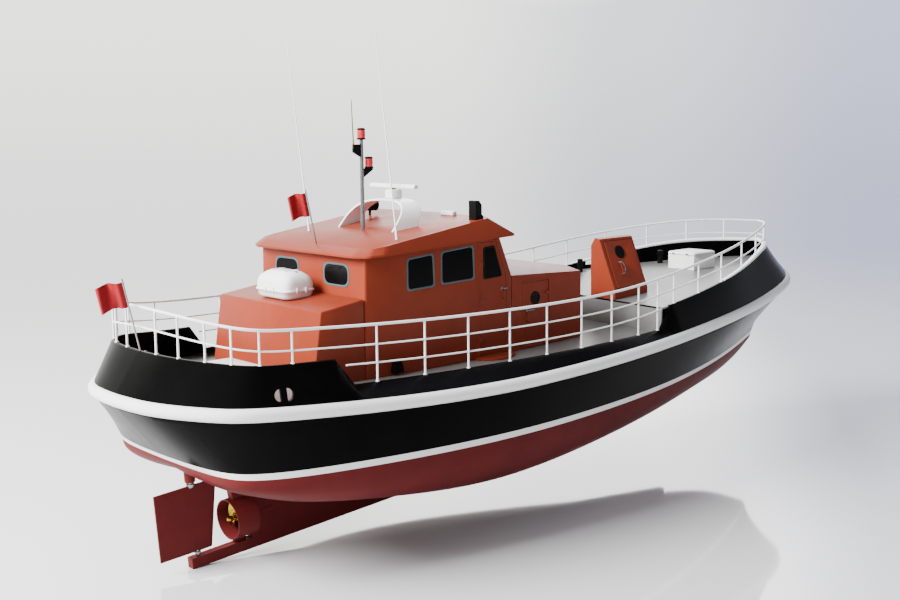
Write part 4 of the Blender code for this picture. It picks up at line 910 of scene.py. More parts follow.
def copy_of(node, name, look, body="hull", *, width):
    """A merged copy of a node's mesh, with rounded edges, that stands for the node."""
    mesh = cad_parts[node].data.copy()
    mesh.name = name
    work = bmesh.new()
    work.from_mesh(mesh)
    bmesh.ops.remove_doubles(work, verts=work.verts, dist=0.0001)
    bmesh.ops.dissolve_limit(work, angle_limit=FLAT, verts=work.verts, edges=work.edges)
    bmesh.ops.dissolve_degenerate(work, edges=work.edges, dist=0.0002)
    bmesh.ops.triangulate(work, faces=[face for face in work.faces if len(face.verts) > 4])
    work.to_mesh(mesh)
    work.free()
    obj = settle(bpy.data.objects.new(name, mesh), look, body, [node])
    soften(obj, width)


copy_of("keel_bar", "keel", "antifouling", width=0.01)

# %% [markdown]
# The propeller turns in a ring. The ring is a wing section turned about the shaft, thick in front
# and thin behind, and stands on the keel by a short foot. A spin of a drawn profile would give the
# same; the formula keeps the section's thickness in one line.

# %% Propeller ring
chord = np.linspace(0.0, 1.0, 25)
thickness = 0.035 * (1.6 * np.sqrt(chord + 1e-6) * (1.0 - chord) + 0.35 * chord) * 1.35
lip = NOZZLE_RADIUS - 0.004
outer_wall = [(NOZZLE_RADIUS - 0.004 * c, NOZZLE_HALF - 2 * NOZZLE_HALF * c) for c in chord]
inner_wall = [(lip - t, h) for (_, h), t in zip(outer_wall[::-1], thickness[::-1])]
duct = dict(stands_for=["nozzle"], around=96, ring=True)
walls = outer_wall + inner_wall
turned_piece("ring_duct", walls, NOZZLE_CENTRE, AHEAD, UPWARD, "antifouling", **duct)
foot_x = NOZZLE_CENTRE[0]
foot_low = keel_top(foot_x) - 0.012
foot_high = NOZZLE_CENTRE[2] - NOZZLE_RADIUS + 0.012
foot_outline = [
    (foot_x - 0.1, foot_low),
    (foot_x + 0.1, foot_low + 0.014),
    (foot_x + 0.1, foot_high),
    (foot_x - 0.1, foot_high),
]
prism("duct_foot", foot_outline, -0.03, 0.03, "antifouling", edge=0.004)

# %% [markdown]
# A blade is a thin wing that twists: near the hub it stands steep, at the tip it lies flat, as the
# angle whose tangent is pitch / (2 pi r). Bending a flat blade by hand never gets that twist
# right. Its width swells and shrinks as a sine along the radius.

# %% Propeller
HUB = 0.055
BLADE_TIP = 0.262
PITCH = 0.42


def blade(number):
    """Rows go out along the radius and columns round the section, by radius, angle and lift."""
    share = np.linspace(0.0, 1.0, 25)[:, None]
    radius = HUB * 0.7 + (BLADE_TIP - HUB * 0.7) * share
    width = 0.05 + 0.16 * np.sin(math.pi * np.clip(share * 0.82 + 0.12, 0.0, 1.0)) ** 0.8
    width = width * np.sqrt(np.clip(1.02 - share**6, 0.02, 1.0))
    twist = np.arctan2(PITCH, 2 * math.pi * np.maximum(radius, 0.08))
    skew = 0.35 * share**2
    a = np.linspace(0.0, 2 * math.pi, 24, endpoint=False)[None, :]
    along = 0.5 * np.cos(a) * width
    off = 0.010 * (1.0 - 0.6 * share) * np.sin(a) * (1.0 + 0.3 * np.cos(a))
    angle = along * np.cos(twist) / radius + skew + (number + 0.5) * math.pi / 2
    lift = along * np.sin(twist) + off
    third = np.cross(AHEAD, UPWARD)
    turn = UPWARD * np.cos(angle)[..., None] + third * np.sin(angle)[..., None]
    return SHAFT + turn * radius[..., None] + AHEAD * lift[..., None]


hub_profile = [(0, -0.165), (0.012, -0.164), (0.024, -0.155), (0.034, -0.135)]
hub_profile += [(0.042, -0.105), (0.047, -0.08), (0.0545, -0.078), (HUB, -0.072)]
hub_profile += [(HUB + 0.002, 0.0), (HUB, 0.072), (0.052, 0.08), (0, 0.08)]
whole = ["propeller"]
turned_piece("propeller_hub", hub_profile, SHAFT, AHEAD, UPWARD, "brass", "propeller", whole)
for number in range(4):
    points = blade(number)
    add_piece(f"propeller_blade_{number}", points, capped(points), "brass", "propeller", sharp=60.0)
shaft_aft = SHAFT + AHEAD * 0.07
shaft = rod_profile(0.03, 0.44)
turned_piece("propeller_shaft", shaft, shaft_aft, AHEAD, UPWARD, "steel", "propeller")
print("propeller of", round(2 * BLADE_TIP, 2), "m")

# %% [markdown]
# The rudder is a deep plate with a rounded nose and a thin tail. A box with a bevel would look
# like a door; a section with an exponential tail looks like a foil. Steel collars show where its
# stock enters the tube above and where its pintle stands in the keel's end.


# %% Rudder
FOOT_GAP = 0.035
BLADE_HIGH = 0.995


def rudder_plate():
    """Rows up the blade; columns round a section x = front - chord s, y = thickness * shape(s)."""
    up = np.linspace(FOOT_GAP, FOOT_GAP + BLADE_HIGH, 13)[:, None]
    part = (up - FOOT_GAP) / BLADE_HIGH
    front = 0.25 + 0.17 * part
    thick = 0.0375 + 0.005 * part
    s = (1.0 - np.cos(np.linspace(0.0, math.pi, 25)[None, :])) / 2
    shape = 1.9 * np.sqrt(s + 1e-6) * np.exp(-2.4 * s) + 0.12 * s
    ahead = front - (front + 0.60) * s
    outer = np.stack(np.broadcast_arrays(ahead, thick * shape, up), -1)
    local = np.concatenate([outer, (outer * MIRROR)[:, -2:0:-1]], 1)
    return STOCK + AHEAD * local[..., :1] + ACROSS * local[..., 1:2] + UPWARD * local[..., 2:]


blade_points = rudder_plate()
faces = capped(blade_points)
plate = add_piece("rudder_blade", blade_points, faces, "antifouling", "rudder", ["rudder"])
soften(plate, 0.004, 2)
for name, radius, low, length in (
    ("rudder_stock", 0.04, 1.0, 0.38),
    ("rudder_collar", 0.062, 1.026, 0.035),
    ("pintle", 0.03, -0.085, 0.14),
    ("pintle_collar", 0.05, 0.012, 0.02),
):
    rod = rod_profile(radius, length)
    turned_piece(name, rod, STOCK + UPWARD * low, UPWARD, ACROSS, "steel", "rudder")

# %% [markdown]
# The rails are painted pipes bent along the bulwark: a thick top pipe, a thin middle one and, where
# the bulwark is low, a third. A bevelled curve object would do it too, but it has no mesh until it
# is converted. Here a pipe is a circle carried along a path, square to the path at each point.


# %% Pipes
PIPE_SIDES = 12


def along_path(path, radius, ring=False):
    """Circles about each path point, spanned by two normals of the path's direction."""
    path = np.asarray(path, float)
    if ring:
        direction = np.roll(path, -1, 0) - np.roll(path, 1, 0)
    else:
        direction = np.gradient(path, axis=0)
    direction /= np.linalg.norm(direction, axis=1, keepdims=True)
    guide = np.where(np.abs(direction[:, 2:]) > 0.9, [[1.0, 0.0, 0.0]], [[0.0, 0.0, 1.0]])
    side = np.cross(direction, guide)
    side /= np.linalg.norm(side, axis=1, keepdims=True)
    third = np.cross(direction, side)
    a = np.linspace(0.0, 2 * math.pi, PIPE_SIDES, endpoint=False)[None, :, None]
    return path[:, None] + radius * (side[:, None] * np.cos(a) + third[:, None] * np.sin(a))


def pipe(name, path, radius, look, body="hull", stands_for=(), ring=False):
    """A round pipe along a path, closed at its ends unless it is a ring."""
    points = along_path(path, radius, ring)
    faces = tube(points, True) if ring else capped(points)
    return add_piece(name, points, faces, look, body, stands_for, sharp=50.0)


def rail_line(t, drop):
    """The middle of a rail, straight above the plating's middle and drop below the top one."""
    plan = bulwark_plan(t) + inboard(t) * (BULWARK_THICK / 2)
    plan[:, 1] = np.maximum(plan[:, 1], 0.0)
    return np.concatenate([plan, (rail_at(t) - drop)[:, None]], 1)


BAR_SPACING = 0.28
pipe("top_rail", all_round(rail_line(T, 0.0)), 0.021, "rail_paint", stands_for=["rails"], ring=True)
pipe("middle_rail", all_round(rail_line(T, BAR_SPACING)), 0.013, "rail_paint", ring=True)
low_from = station_of(bulwark_plan, STEP_AFT[1] - 0.12)
low_to = station_of(bulwark_plan, STEP_FORE[0] + 0.04)
low_path = rail_line(np.linspace(low_from, low_to, 100), BAR_SPACING * 1.93)
SIDES = (("starboard", -1, MIRROR), ("port", 1, np.ones(3)))
for label, _, flip in SIDES:
    pipe(f"low_rail_{label}", low_path * flip, 0.013, "rail_paint")

# %% [markdown]
# Posts of thinner pipe hold the rails, each welded to a small round pad on the bulwark's top edge.
# One post could be copied along a curve, but these follow a rail that leans and rises, so each is
# drawn between its own foot and head. A side's posts are one piece.


# %% Rail posts
STERN_POSTS_T = (0.5, 1.1, 1.7, 2.3, 3.0, 3.7)
SIDE_POSTS_X = (-5.1, -4.32, -3.56, -2.77, -2.0, -1.21, -0.45, 0.31)
BOW_POSTS_X = (0.9, 1.42, 2.25, 3.1, 4.05, 5.0, 5.85, 6.55)
DOWN = np.array([0, 0, 0.002])
PAD = np.array([0, 0, 0.012])


def joined(name, grids, look):
    """Several closed tubes of rows as one piece."""
    points = []
    faces = []
    for grid in grids:
        first = sum(len(p) for p in points)
        faces += [[i + first for i in face] for face in capped(grid)]
        points.append(grid.reshape(-1, 3))
    add_piece(name, np.concatenate(points), faces, look, sharp=50.0)


side_posts_t = [station_of(bulwark_plan, x) for x in SIDE_POSTS_X + BOW_POSTS_X]
post_t = np.array([*STERN_POSTS_T, *side_posts_t])
heads = rail_line(post_t, 0.0)
feet = heads.copy()
feet[:, 2] = bulwark_edges(post_t)[1][:, 2]
for label, _, flip in SIDES:
    posts = [along_path(np.linspace(f, h, 3) * flip, 0.016) for f, h in zip(feet, heads)]
    pads = [along_path(np.array([f - DOWN, f + PAD]) * flip, 0.028) for f in feet]
    joined(f"rail_posts_{label}", posts + pads, "rail_paint")
print("rail posts a side:", len(post_t))

# %% [markdown]
# Towards the bow the bulwark carries a white capping, which starts at the raised foredeck, grows
# wider forward and meets itself at the stem. It is a flat rounded section on the plating's top. A
# pipe that is scaled flat would thin out in the curve; here width and height are set per station.


# %% Bow capping
CAP_FROM = 3.2
CAP_GROWS_OVER = 2.6


def signed_power(value, power):
    """The power of the size, with the sign kept: of a cosine it gives a rounded box."""
    return np.sign(value) * np.abs(value) ** power


cap_t = np.linspace(station_of(bulwark_plan, CAP_FROM), LAST, 120)
_, cap_top = bulwark_edges(cap_t)
cap_inward = np.concatenate([inboard(cap_t), np.zeros((len(cap_t), 1))], 1)
cap_grow = np.clip((cap_top[:, :1] - CAP_FROM) / CAP_GROWS_OVER, 0.0, 1.0)
cap_middle = cap_top + cap_inward * (BULWARK_THICK / 2)
a = np.linspace(0.0, 2 * math.pi, 16, endpoint=False)
wide = (0.036 + 0.018 * cap_grow) * signed_power(np.cos(a), 0.6)
tall = (0.012 + 0.022 * cap_grow) * signed_power(np.sin(a), 0.6)
cap_points = cap_middle[:, None] + cap_inward[:, None] * wide[..., None]
cap_points[..., 2] += tall + 0.008
cap_points[..., 1] = np.maximum(cap_points[..., 1], 0.0)
bow_cap = np.concatenate([cap_points * MIRROR, cap_points[-2::-1]])
add_piece("bow_capping", bow_cap, capped(bow_cap), "rail_paint", sharp=60.0)

# %% [markdown]
# The deckhouse is welded plate. Its walls are flat, its corners are rolled to a small radius, and
# that radius is what catches the light along every edge. New walls would only repeat the solids,
# so the copies are used as they are. The doors are separate plates that turn.

# %% Deckhouse
for node, name, look, body, width in (
    ("aft_trunk", "aft_casing", "orange_paint", "hull", 0.016),
    ("wheelhouse", "cabin", "orange_paint", "hull", 0.008),
    ("forward_trunk", "fore_casing", "orange_paint", "hull", 0.012),
    ("companion", "scuttle", "orange_paint", "hull", 0.012),
    ("door_starboard", "cabin_door_starboard", "orange_paint", "starboard_door", 0.003),
    ("door_port", "cabin_door_port", "orange_paint", "port_door", 0.003),
    ("door_front", "casing_door", "orange_paint", "front_door", 0.003),
    ("door_companion", "scuttle_leaf", "orange_paint", "scuttle_door", 0.003),
    ("door_step", "entry_step", "orange_paint", "hull", 0.008),
    ("vent", "side_vent", "black_trim", "hull", 0.01),
):
    copy_of(node, name, look, body, width=width)

# %% [markdown]
# The roof is one moulding. Three rings of points go up it: the brim's lower edge, its upper edge,
# and the edge of the flat top. Scaling one ring would shrink the brim evenly, but the real brim is
# deeper in front, so each ring has its own outline with curved corners.


# %% Rounded outlines and the roof
def rounded_loop(corners, inset=0.0, radius=0.05, steps=7):
    """Move a convex outline in by inset; each corner is a curve a(1-u)^2 + 2bu(1-u) + cu^2."""
    c = np.asarray(corners, float)
    edge = np.roll(c, -1, 0) - c
    edge /= np.linalg.norm(edge, axis=1, keepdims=True)
    inward = np.stack([-edge[:, 1], edge[:, 0]], 1)
    inward *= np.sign(((c.mean(0) - c) * inward).sum(1))[:, None]
    here = c + inward * inset
    before = np.roll(here, 1, 0)
    last_edge = np.roll(edge, 1, 0)
    cross = last_edge[:, 0] * edge[:, 1] - last_edge[:, 1] * edge[:, 0]
    gap = here - before
    s = (gap[:, 0] * edge[:, 1] - gap[:, 1] * edge[:, 0]) / cross
    corner = (before + last_edge * s[:, None])[:, None]
    u = np.linspace(0.0, 1.0, steps)[None, :, None]
    start = corner - last_edge[:, None] * radius
    stop = corner + edge[:, None] * radius
    return (start * (1 - u) ** 2 + corner * 2 * u * (1 - u) + stop * u**2).reshape(-1, 2)


ROOF_BRIM = 0.03


def roof_under(x):
    """The brim's lower edge rises straight by 0.13 m over 2.75 m."""
    return 2.74 + 0.13 * (x + 4.75) / 2.75


def roof_top(x):
    """The roof's flat top rises straight by 0.31 m over 2.23 m."""
    return 2.86 + 0.31 * (x + 4.68) / 2.23


lower = ((-4.87, 1.22), (-4.76, 1.46), (-4.50, 1.52), (-1.90, 1.57), (-1.81, 1.40), (-1.74, 0.0))
upper = ((-4.73, 1.20), (-4.63, 1.40), (-4.42, 1.46), (-2.40, 1.47), (-2.31, 1.33), (-2.27, 0.0))
roof_rings = []
for outline, height in (
    (lower, roof_under),
    (lower, lambda x: roof_under(x) + ROOF_BRIM),
    (upper, roof_top),
):
    whole = [(x, -y) for x, y in outline] + [(x, y) for x, y in reversed(outline[:-1])]
    loop = rounded_loop(whole, 0.0, 0.06)
    roof_rings.append(np.column_stack([loop, height(loop[:, 0])]))
roof_points = np.stack(roof_rings)
faces = capped(roof_points)
soften(add_piece("roof_moulding", roof_points, faces, "orange_paint", stands_for=["roof"]), 0.012)

# %% [markdown]
# A window is black glass in a grey rubber frame that lies nearly flush with the wall. The frame is
# a small profile carried round the rounded outline, and the pane closes it just below the surface.
# Each wall has a function that turns a flat outline into places on it, so one frame fits them all.


# %% Windows
FRAME_INSET = (-0.004, -0.004, 0.002, 0.02, 0.025, 0.026)
FRAME_HIGH = (-0.008, 0.003, 0.006, 0.006, 0.002, -0.014)
TRIM_INSET = (-0.03, -0.03, -0.026, -0.006, -0.001, -0.001)
TRIM_HIGH = (-0.004, 0.004, 0.008, 0.008, 0.004, -0.004)


def window_frame(name, corners, place, radius, body, look, profile):
    """A profile of (inset, height off the wall) pairs, carried round an outline on a wall."""
    rows = [place(rounded_loop(corners, inset, radius), off) for inset, off in profile]
    points = np.stack(rows)
    add_piece(f"{name}_frame", points, tube(points, True), look, body, sharp=50.0)


def window(name, corners, place, radius, body="hull", look="rubber_frame"):
    """A frame and its pane; place(loop, off) gives a loop's points at a height off the wall."""
    window_frame(name, corners, place, radius, body, look, zip(FRAME_INSET, FRAME_HIGH))
    loop = rounded_loop(corners, 0.02, radius)
    points = np.stack([place(loop, -0.012), place(loop, -0.002)])
    add_piece(f"{name}_pane", points, capped(points), "dark_glass", body)


def side_wall(side):
    """Places on the starboard (-1) or port (1) wall of the deckhouse."""

    def place(loop, off):
        level = np.full(len(loop), side * (HOUSE_HALF + off))
        return np.column_stack([loop[:, 0], level, loop[:, 1]])

    return place


def aft_wall(loop, off):
    """The aft wall leans forward by 0.03 m over its 1.81 m of height."""
    x = -4.75 - off + 0.03 * (loop[:, 1] - 0.93) / 1.81
    return np.column_stack([x, loop[:, 0], loop[:, 1]])


def front_wall(loop, off):
    """The front wall rakes aft by 0.27 m over its 0.64 m of height."""
    lean = np.array([0.64, 0.27]) / math.hypot(0.64, 0.27)
    x = -1.73 - 0.27 * (loop[:, 1] - 2.23) / 0.64
    return np.column_stack([x + lean[0] * off, loop[:, 0], loop[:, 1] + lean[1] * off])


HOUSE_HALF = 1.32
SIDE_WINDOWS = (
    ((-3.93, 2.17), (-3.38, 2.19), (-3.40, 2.70), (-3.93, 2.66)),
    ((-3.25, 2.20), (-2.55, 2.22), (-2.57, 2.76), (-3.25, 2.71)),
)
DOOR_GLASS = ((-2.36, 2.2), (-1.95, 2.22), (-2.12, 2.72), (-2.36, 2.70))
DOOR_EDGE = ((-2.45, 0.98), (-1.86, 0.98), (-1.86, 2.21), (-2.08, 2.788), (-2.45, 2.79))
CASING_DOOR_EDGE = ((-1.46, 1.02), (-0.86, 1.02), (-0.86, 2.06), (-1.46, 2.06))


def upright(y, half, low, high):
    """The corners of a window in a cross wall, as (y, z)."""
    return ((y - half, low), (y + half, low), (y + half, high), (y - half, high))


DOOR_TRIM = list(zip(TRIM_INSET, TRIM_HIGH))
trim = dict(radius=0.02, body="hull", look="orange_paint", profile=DOOR_TRIM)
for label, side, _ in SIDES:
    wall = side_wall(side)
    for number, corners in enumerate(SIDE_WINDOWS):
        window(f"side_window_{label}_{number}", corners, wall, 0.06)
    window(f"door_window_{label}", DOOR_GLASS, wall, 0.045, f"{label}_door", "black_trim")
    window_frame(f"door_trim_{label}", DOOR_EDGE, wall, **trim)
    window(f"aft_window_{label}", upright(side * 0.63, 0.31, 2.27, 2.61), aft_wall, 0.13)
window_frame("casing_door_trim", CASING_DOOR_EDGE, side_wall(-1), **trim)
for number, y in enumerate((-0.84, 0.0, 0.84)):
    window(f"front_window_{number}", upright(y, 0.34, 2.31, 2.74), front_wall, 0.06)

# %% [markdown]
# Round ports are turned: a rim, and a pane a little below it. Door levers are short steel bars on
# a round plate. Both are made flat on the wall's own outward direction, so the same function
# serves a wall, a door or a leaning leaf.


# %% Ports and handles
def port_light(name, centre, out, radius, body):
    """A round port: a turned rim, and a pane just below it."""
    rim = [(radius + 0.012, -0.006), (radius + 0.012, 0.003), (radius + 0.006, 0.008)]
    rim += [(radius - 0.008, 0.008), (radius - 0.012, 0.002), (radius - 0.012, -0.01)]
    turned_piece(f"{name}_rim", rim, centre, out, FORE, "black_trim", body, around=48, ring=True)
    pane = [(0, -0.012), (radius - 0.009, -0.012), (radius - 0.009, 0.0), (0, 0.0)]
    turned_piece(f"{name}_pane", pane, centre, out, FORE, "dark_glass", body, around=48)


def lever(name, place, side, body, length=0.13):
    """A round plate, a neck and a bar that points forward, on the -1 or 1 side of the house."""
    place = np.array(place)
    out = PORT * side
    plate = rod_profile(0.026, 0.014, 0.003)
    turned_piece(f"{name}_plate", plate, place, out, FORE, "steel", body, around=32)
    elbow = place + out * 0.05 + FORE * 0.012
    tip = place + out * 0.052 + FORE * length
    pipe(f"{name}_bar", [place, place + out * 0.03, elbow, tip], 0.01, "steel", body)


FORE = np.array([1.0, 0.0, 0.0])
PORT = np.array([0.0, 1.0, 0.0])
port_light("casing_port", np.array([-1.18, -1.308, 1.78]), -PORT, 0.1, "front_door")
lever("starboard_lever", (-1.96, -HOUSE_HALF, 2.02), -1, "starboard_door", 0.07)
lever("port_lever", (-1.96, HOUSE_HALF, 2.02), 1, "port_door", 0.07)
lever("casing_lever", (-1.38, -1.308, 1.60), -1, "front_door")

# %% [markdown]
# The companion on the foredeck has a leaning door with a round port and a bow handle. Everything on
# it is placed by two directions of the door itself: up along the leaf, and out from it.

# %% Companion door
COMPANION_AFT = 1.05
scuttle_foot = np.array([0.0, -1.13, foredeck_height(COMPANION_AFT) + 0.17])
scuttle_head = np.array([0.0, -0.75, 2.54])
scuttle_length = np.linalg.norm(scuttle_head - scuttle_foot)
scuttle_up = (scuttle_head - scuttle_foot) / scuttle_length
scuttle_out = np.array([0.0, -scuttle_up[2], scuttle_up[1]])
scuttle_port = scuttle_foot + scuttle_up * scuttle_length * 0.72 + FORE * 1.47 + scuttle_out * 0.012
port_light("scuttle_port", scuttle_port, scuttle_out, 0.11, "scuttle_door")
bow_middle = scuttle_foot + scuttle_up * scuttle_length * 0.42 + FORE * 1.36
half_turn = math.pi * np.linspace(0.0, 1.0, 13)[:, None]
bow_path = bow_middle + scuttle_up * (0.11 * np.cos(half_turn))
bow_path = bow_path + FORE * 0.06 * np.sin(half_turn) ** 0.5
bow_path = bow_path + scuttle_out * (0.012 + 0.05 * np.sin(half_turn) ** 0.4)
pipe("scuttle_handle", bow_path, 0.012, "steel", "scuttle_door")

# %% [markdown]
# Hatches are square white boxes with rounded lids, held down by small dogs. A lid, like the raft
# below, is a mould's shape: one rounded outline that shrinks in steps while it rises.


# %% Hatches
def layered(name, corners, steps, low, radius, look, body="hull", stands_for=()):
    """A moulding from rings: each step moves an outline in by an inset and up by a height."""
    rings = []
    for inset, up in steps:
        ring = rounded_loop(corners, inset, radius)
        rings.append(np.column_stack([ring, np.full(len(ring), low + up)]))
    points = np.stack(rings)
    add_piece(name, points, capped(points), look, body, stands_for, sharp=60.0)


def rectangle(x, y, half_x, half_y):
    """The corners of a rectangle about a place, in plan."""
    return np.array([(-1, -1), (1, -1), (1, 1), (-1, 1)]) * (half_x, half_y) + (x, y)


LID = [(0.012, 0.0), (0.0, 0.012), (0.0, 0.036), (0.008, 0.05), (0.03, 0.06), (0.25, 0.064)]
for end in ("fore", "aft"):
    copy_of(f"{end}_hatch_coaming", f"{end}_coaming", "white_paint", width=0.012)
for end, plan in (("fore", (4.75, 0.0, 0.365, 0.335)), ("aft", (-6.35, 0.0, 0.415, 0.415))):
    node = f"{end}_hatch_lid"
    body = f"{end}_lid"
    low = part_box(node)[0][2]
    layered(f"{body}_moulding", rectangle(*plan), LID, low, 0.07, "white_paint", body, [node])
dog = rod_profile(0.018, 0.055)
for end, x, y, z in (("fore", 4.40, 0.17, 1.95), ("aft", -6.75, 0.2, 1.18)):
    for number, foot in enumerate(((x, -y, z), (x, y, z))):
        name = f"{end}_dog_{number}"
        turned_piece(name, dog, foot, -FORE, PORT, "steel", f"{end}_lid", around=24)

# %% [markdown]
# The liferaft lies in a moulded canister of two halves, a tub below and a bevelled lid above. A
# rounded box would show no seam; here one outline goes up in steps, and the seam between the
# halves is a proud lip, held by small latches.

# %% Liferaft
RAFT = rectangle(-5.14, 0.1, 0.275, 0.425)
RAFT_LOW = 2.075
TUB = [(0.09, 0.0), (0.04, 0.012), (0.012, 0.05), (0.0, 0.12), (-0.012, 0.125), (-0.012, 0.143)]
COVER = [(0.0, 0.148), (0.002, 0.22), (0.012, 0.28), (0.04, 0.335)]
CROWN = [(0.1, 0.385), (0.15, 0.41), (0.2, 0.42), (0.27, 0.422)]
steps = TUB + COVER + CROWN
layered("raft_canister", RAFT, steps, RAFT_LOW, 0.15, "moulded_white", "hull", ["liferaft"])
for number, (x, y) in enumerate(((-5.22, -0.334), (-5.06, -0.334), (-5.424, 0.0), (-5.424, 0.2))):
    latch = rectangle(x, y, 0.012, 0.012)
    steps = [(0.004, 0.0), (0.0, 0.004), (0.0, 0.076), (0.004, 0.08)]
    layered(f"raft_latch_{number}", latch, steps, RAFT_LOW + 0.1, 0.004, "moulded_white")

# %% [markdown]
# The mast stands on the roof with two red all-round lamps and a brass spike aerial. Cut plates,
# welded at a slant, carry the lamp and the spike. Turned pieces are made from half their outline,
# as on a lathe, which shows every step of a lamp's base, lens and cap.

# %% Mast
MAST_X = -3.70
RAISED = np.array([0.0, 0.0, 1.0])
foot = np.array([MAST_X, 0.0, roof_top(MAST_X) - 0.02])
high = 4.40 - foot[2]
mast = [(0, 0), (0.045, 0), (0.045, 0.03), (0.035, 0.036), (0.028, high), (0, high)]
turned_piece("mast_tube", mast, foot, RAISED, FORE, "steel", "hull", ["mast"])
for name, outline in (
    ("lamp_plate", ((MAST_X, 3.80), (-3.49, 3.93), (-3.49, 3.955), (MAST_X, 3.955))),
    ("spike_plate", ((MAST_X, 4.12), (MAST_X, 4.33), (-3.87, 4.33), (-3.87, 4.21))),
):
    prism(name, outline, -0.02, 0.02, "black_trim", edge=0.003)
way = np.array([-0.03, 0.0, 0.82])
length = np.linalg.norm(way)
spike = [(0, 0), (0.018, 0), (0.018, 0.12), (0.011, 0.14), (0.006, length - 0.01), (0, length)]
foot = np.array([-3.85, 0.0, 4.2])
turned_piece("spike_aerial", spike, foot, way / length, PORT, "brass")
LENS = [(0, 0.024), (0.06, 0.024), (0.064, 0.06), (0.064, 0.12), (0.06, 0.156), (0, 0.156)]
BASE = [(0, 0), (0.066, 0), (0.072, 0.006), (0.066, 0.026), (0, 0.028)]
CAP = [(0, 0.15), (0.066, 0.152), (0.068, 0.165), (0.05, 0.18), (0, 0.182)]
for where, x, z in (("top", MAST_X, 4.4006), ("side", -3.56, 3.9556)):
    foot = np.array([x, 0.0, z])
    node = [f"lamp_{where}"]
    turned_piece(f"{where}_lamp_lens", LENS, foot, RAISED, FORE, "lamp_red", "hull", node)
    turned_piece(f"{where}_lamp_base", BASE, foot, RAISED, FORE, "black_trim")
    turned_piece(f"{where}_lamp_cap", CAP, foot, RAISED, FORE, "black_trim")

# %% [markdown]
# Two long whip aerials taper to a few millimetres. Each leans aft from a short ferrule. A
# stretched cylinder would not taper in steps, so they are turned too, about the line from foot to
# tip.

# %% Whips
WHIP_X = -4.03
for label, y in (("starboard", -1.22), ("port", 0.98)):
    foot = np.array([WHIP_X, y, roof_top(WHIP_X) - 0.02])
    way = np.array([-4.37, y, 6.0]) - foot
    length = np.linalg.norm(way)
    ferrule = [(0, 0), (0.024, 0), (0.024, 0.03), (0.019, 0.05)]
    whip = ferrule + [(0.016, 0.2), (0.012, 0.21), (0.005, length), (0, length)]
    name = f"whip_aerial_{label}"
    node = [f"whip_{label}"]
    turned_piece(name, whip, foot, way / length, PORT, "moulded_white", "hull", node, around=24)

# %% [markdown]
# The radar stands on a moulded arch. The arch is a superellipse from side to side, as an arc would
# be too round and a frame too square; its fore edge stands upright and its aft edge rakes forward,
# so it is broad at the feet and narrow at the crown. The bar's section is the same kind of curve.


# %% Radar arch and scanner
def arch_points(steps=65, half=0.69, top=3.46, square=0.66):
    """y = half c^p and height = s^p over the angle; rows go round the arch, columns round a leg."""
    angle = np.linspace(0.0, math.pi, steps)
    side = signed_power(-np.cos(angle), square)
    rise = np.sin(angle).clip(0.0) ** square
    outer = []
    for x, splay in ((-3.70 + 0.42 * rise, 0.0), (-3.22 + 0.26 * rise, 0.06)):
        foot = roof_top(x) - 0.03
        y = half * side + splay * (1.0 - rise) * side
        outer.append(np.stack([x, y, foot + (top - foot) * rise], 1))
    shift = np.stack([0.0 * side, -0.035 * side, -0.035 * rise], 1)
    return np.stack([outer[0], outer[1], outer[1] + shift, outer[0] + shift], 1)


arch = arch_points()
faces = capped(arch)
soften(add_piece("arch_moulding", arch, faces, "moulded_white", stands_for=["radar_arch"]), 0.01)
copy_of("radar_gearbox", "radar_drive", "moulded_white", width=0.006)
SCANNER_X = -3.07
SCANNER_Z = 3.6562
share = np.linspace(-1.0, 1.0, 33)[:, None]
a = np.linspace(0.0, 2 * math.pi, 32, endpoint=False)[None, :]
shrink = (1.0 - np.abs(share) ** 24) ** 0.5 * 0.12 + 0.88
scanner_x = SCANNER_X + 0.045 * signed_power(np.cos(a), 0.6) * shrink
scanner_z = SCANNER_Z + 0.035 * signed_power(np.sin(a), 0.6) * shrink
scanner = np.stack(np.broadcast_arrays(scanner_x, 0.555 * share, scanner_z), -1)
whole = ["radar_scanner"]
add_piece("scanner_bar", scanner, capped(scanner), "moulded_white", "scanner", whole, sharp=60.0)
neck = [(0, 0), (0.045, 0), (0.045, 0.02), (0.03, 0.04), (0, 0.045)]
foot = np.array([SCANNER_X, 0.0, 3.6012])
turned_piece("scanner_neck", neck, foot, RAISED, FORE, "black_trim", "scanner")

# %% [markdown]
# The roof also carries a searchlight, a black exhaust box with a slanted top, and a small white
# horn. The drum is turned about a level line, and the exhaust box is its side view drawn between
# two planes.

# %% Roof fittings
LIGHT_X = -2.78
light_place = np.array([LIGHT_X, 0.98, roof_top(LIGHT_X) - 0.03 + 0.2])
drum = [(0, -0.12), (0.06, -0.115), (0.09, -0.07), (0.1, 0.0)]
drum += [(0.1, 0.1), (0.104, 0.104), (0.104, 0.12), (0, 0.12)]
lens = [(0, 0.118), (0.09, 0.118), (0.07, 0.124), (0, 0.128)]
node = ["searchlight"]
turned_piece("searchlight_drum", drum, light_place, FORE, PORT, "black_trim", "hull", node)
turned_piece("searchlight_lens", lens, light_place, FORE, PORT, "dark_glass")
post = rod_profile(0.022, 0.12)
turned_piece("searchlight_post", post, light_place - RAISED * 0.2, RAISED, FORE, "black_trim")
stack_foot = roof_top(-2.52) - 0.03
stack = [(-2.60, 0.0), (-2.60, 0.32), (-2.52, 0.32), (-2.465, 0.25)]
stack += [(-2.465, 0.1), (-2.43, 0.08), (-2.43, 0.0)]
stack = [(x, stack_foot + z) for x, z in stack]
prism("exhaust_casing", stack, -1.41, -1.25, "black_trim", stands_for=["exhaust_box"])
copy_of("roof_box", "horn_box", "moulded_white", width=0.01)

# %% [markdown]
# Mooring posts on the foredeck are turned steel with a rounded head and a cross bar. Both come
# from one outline, so that they match.

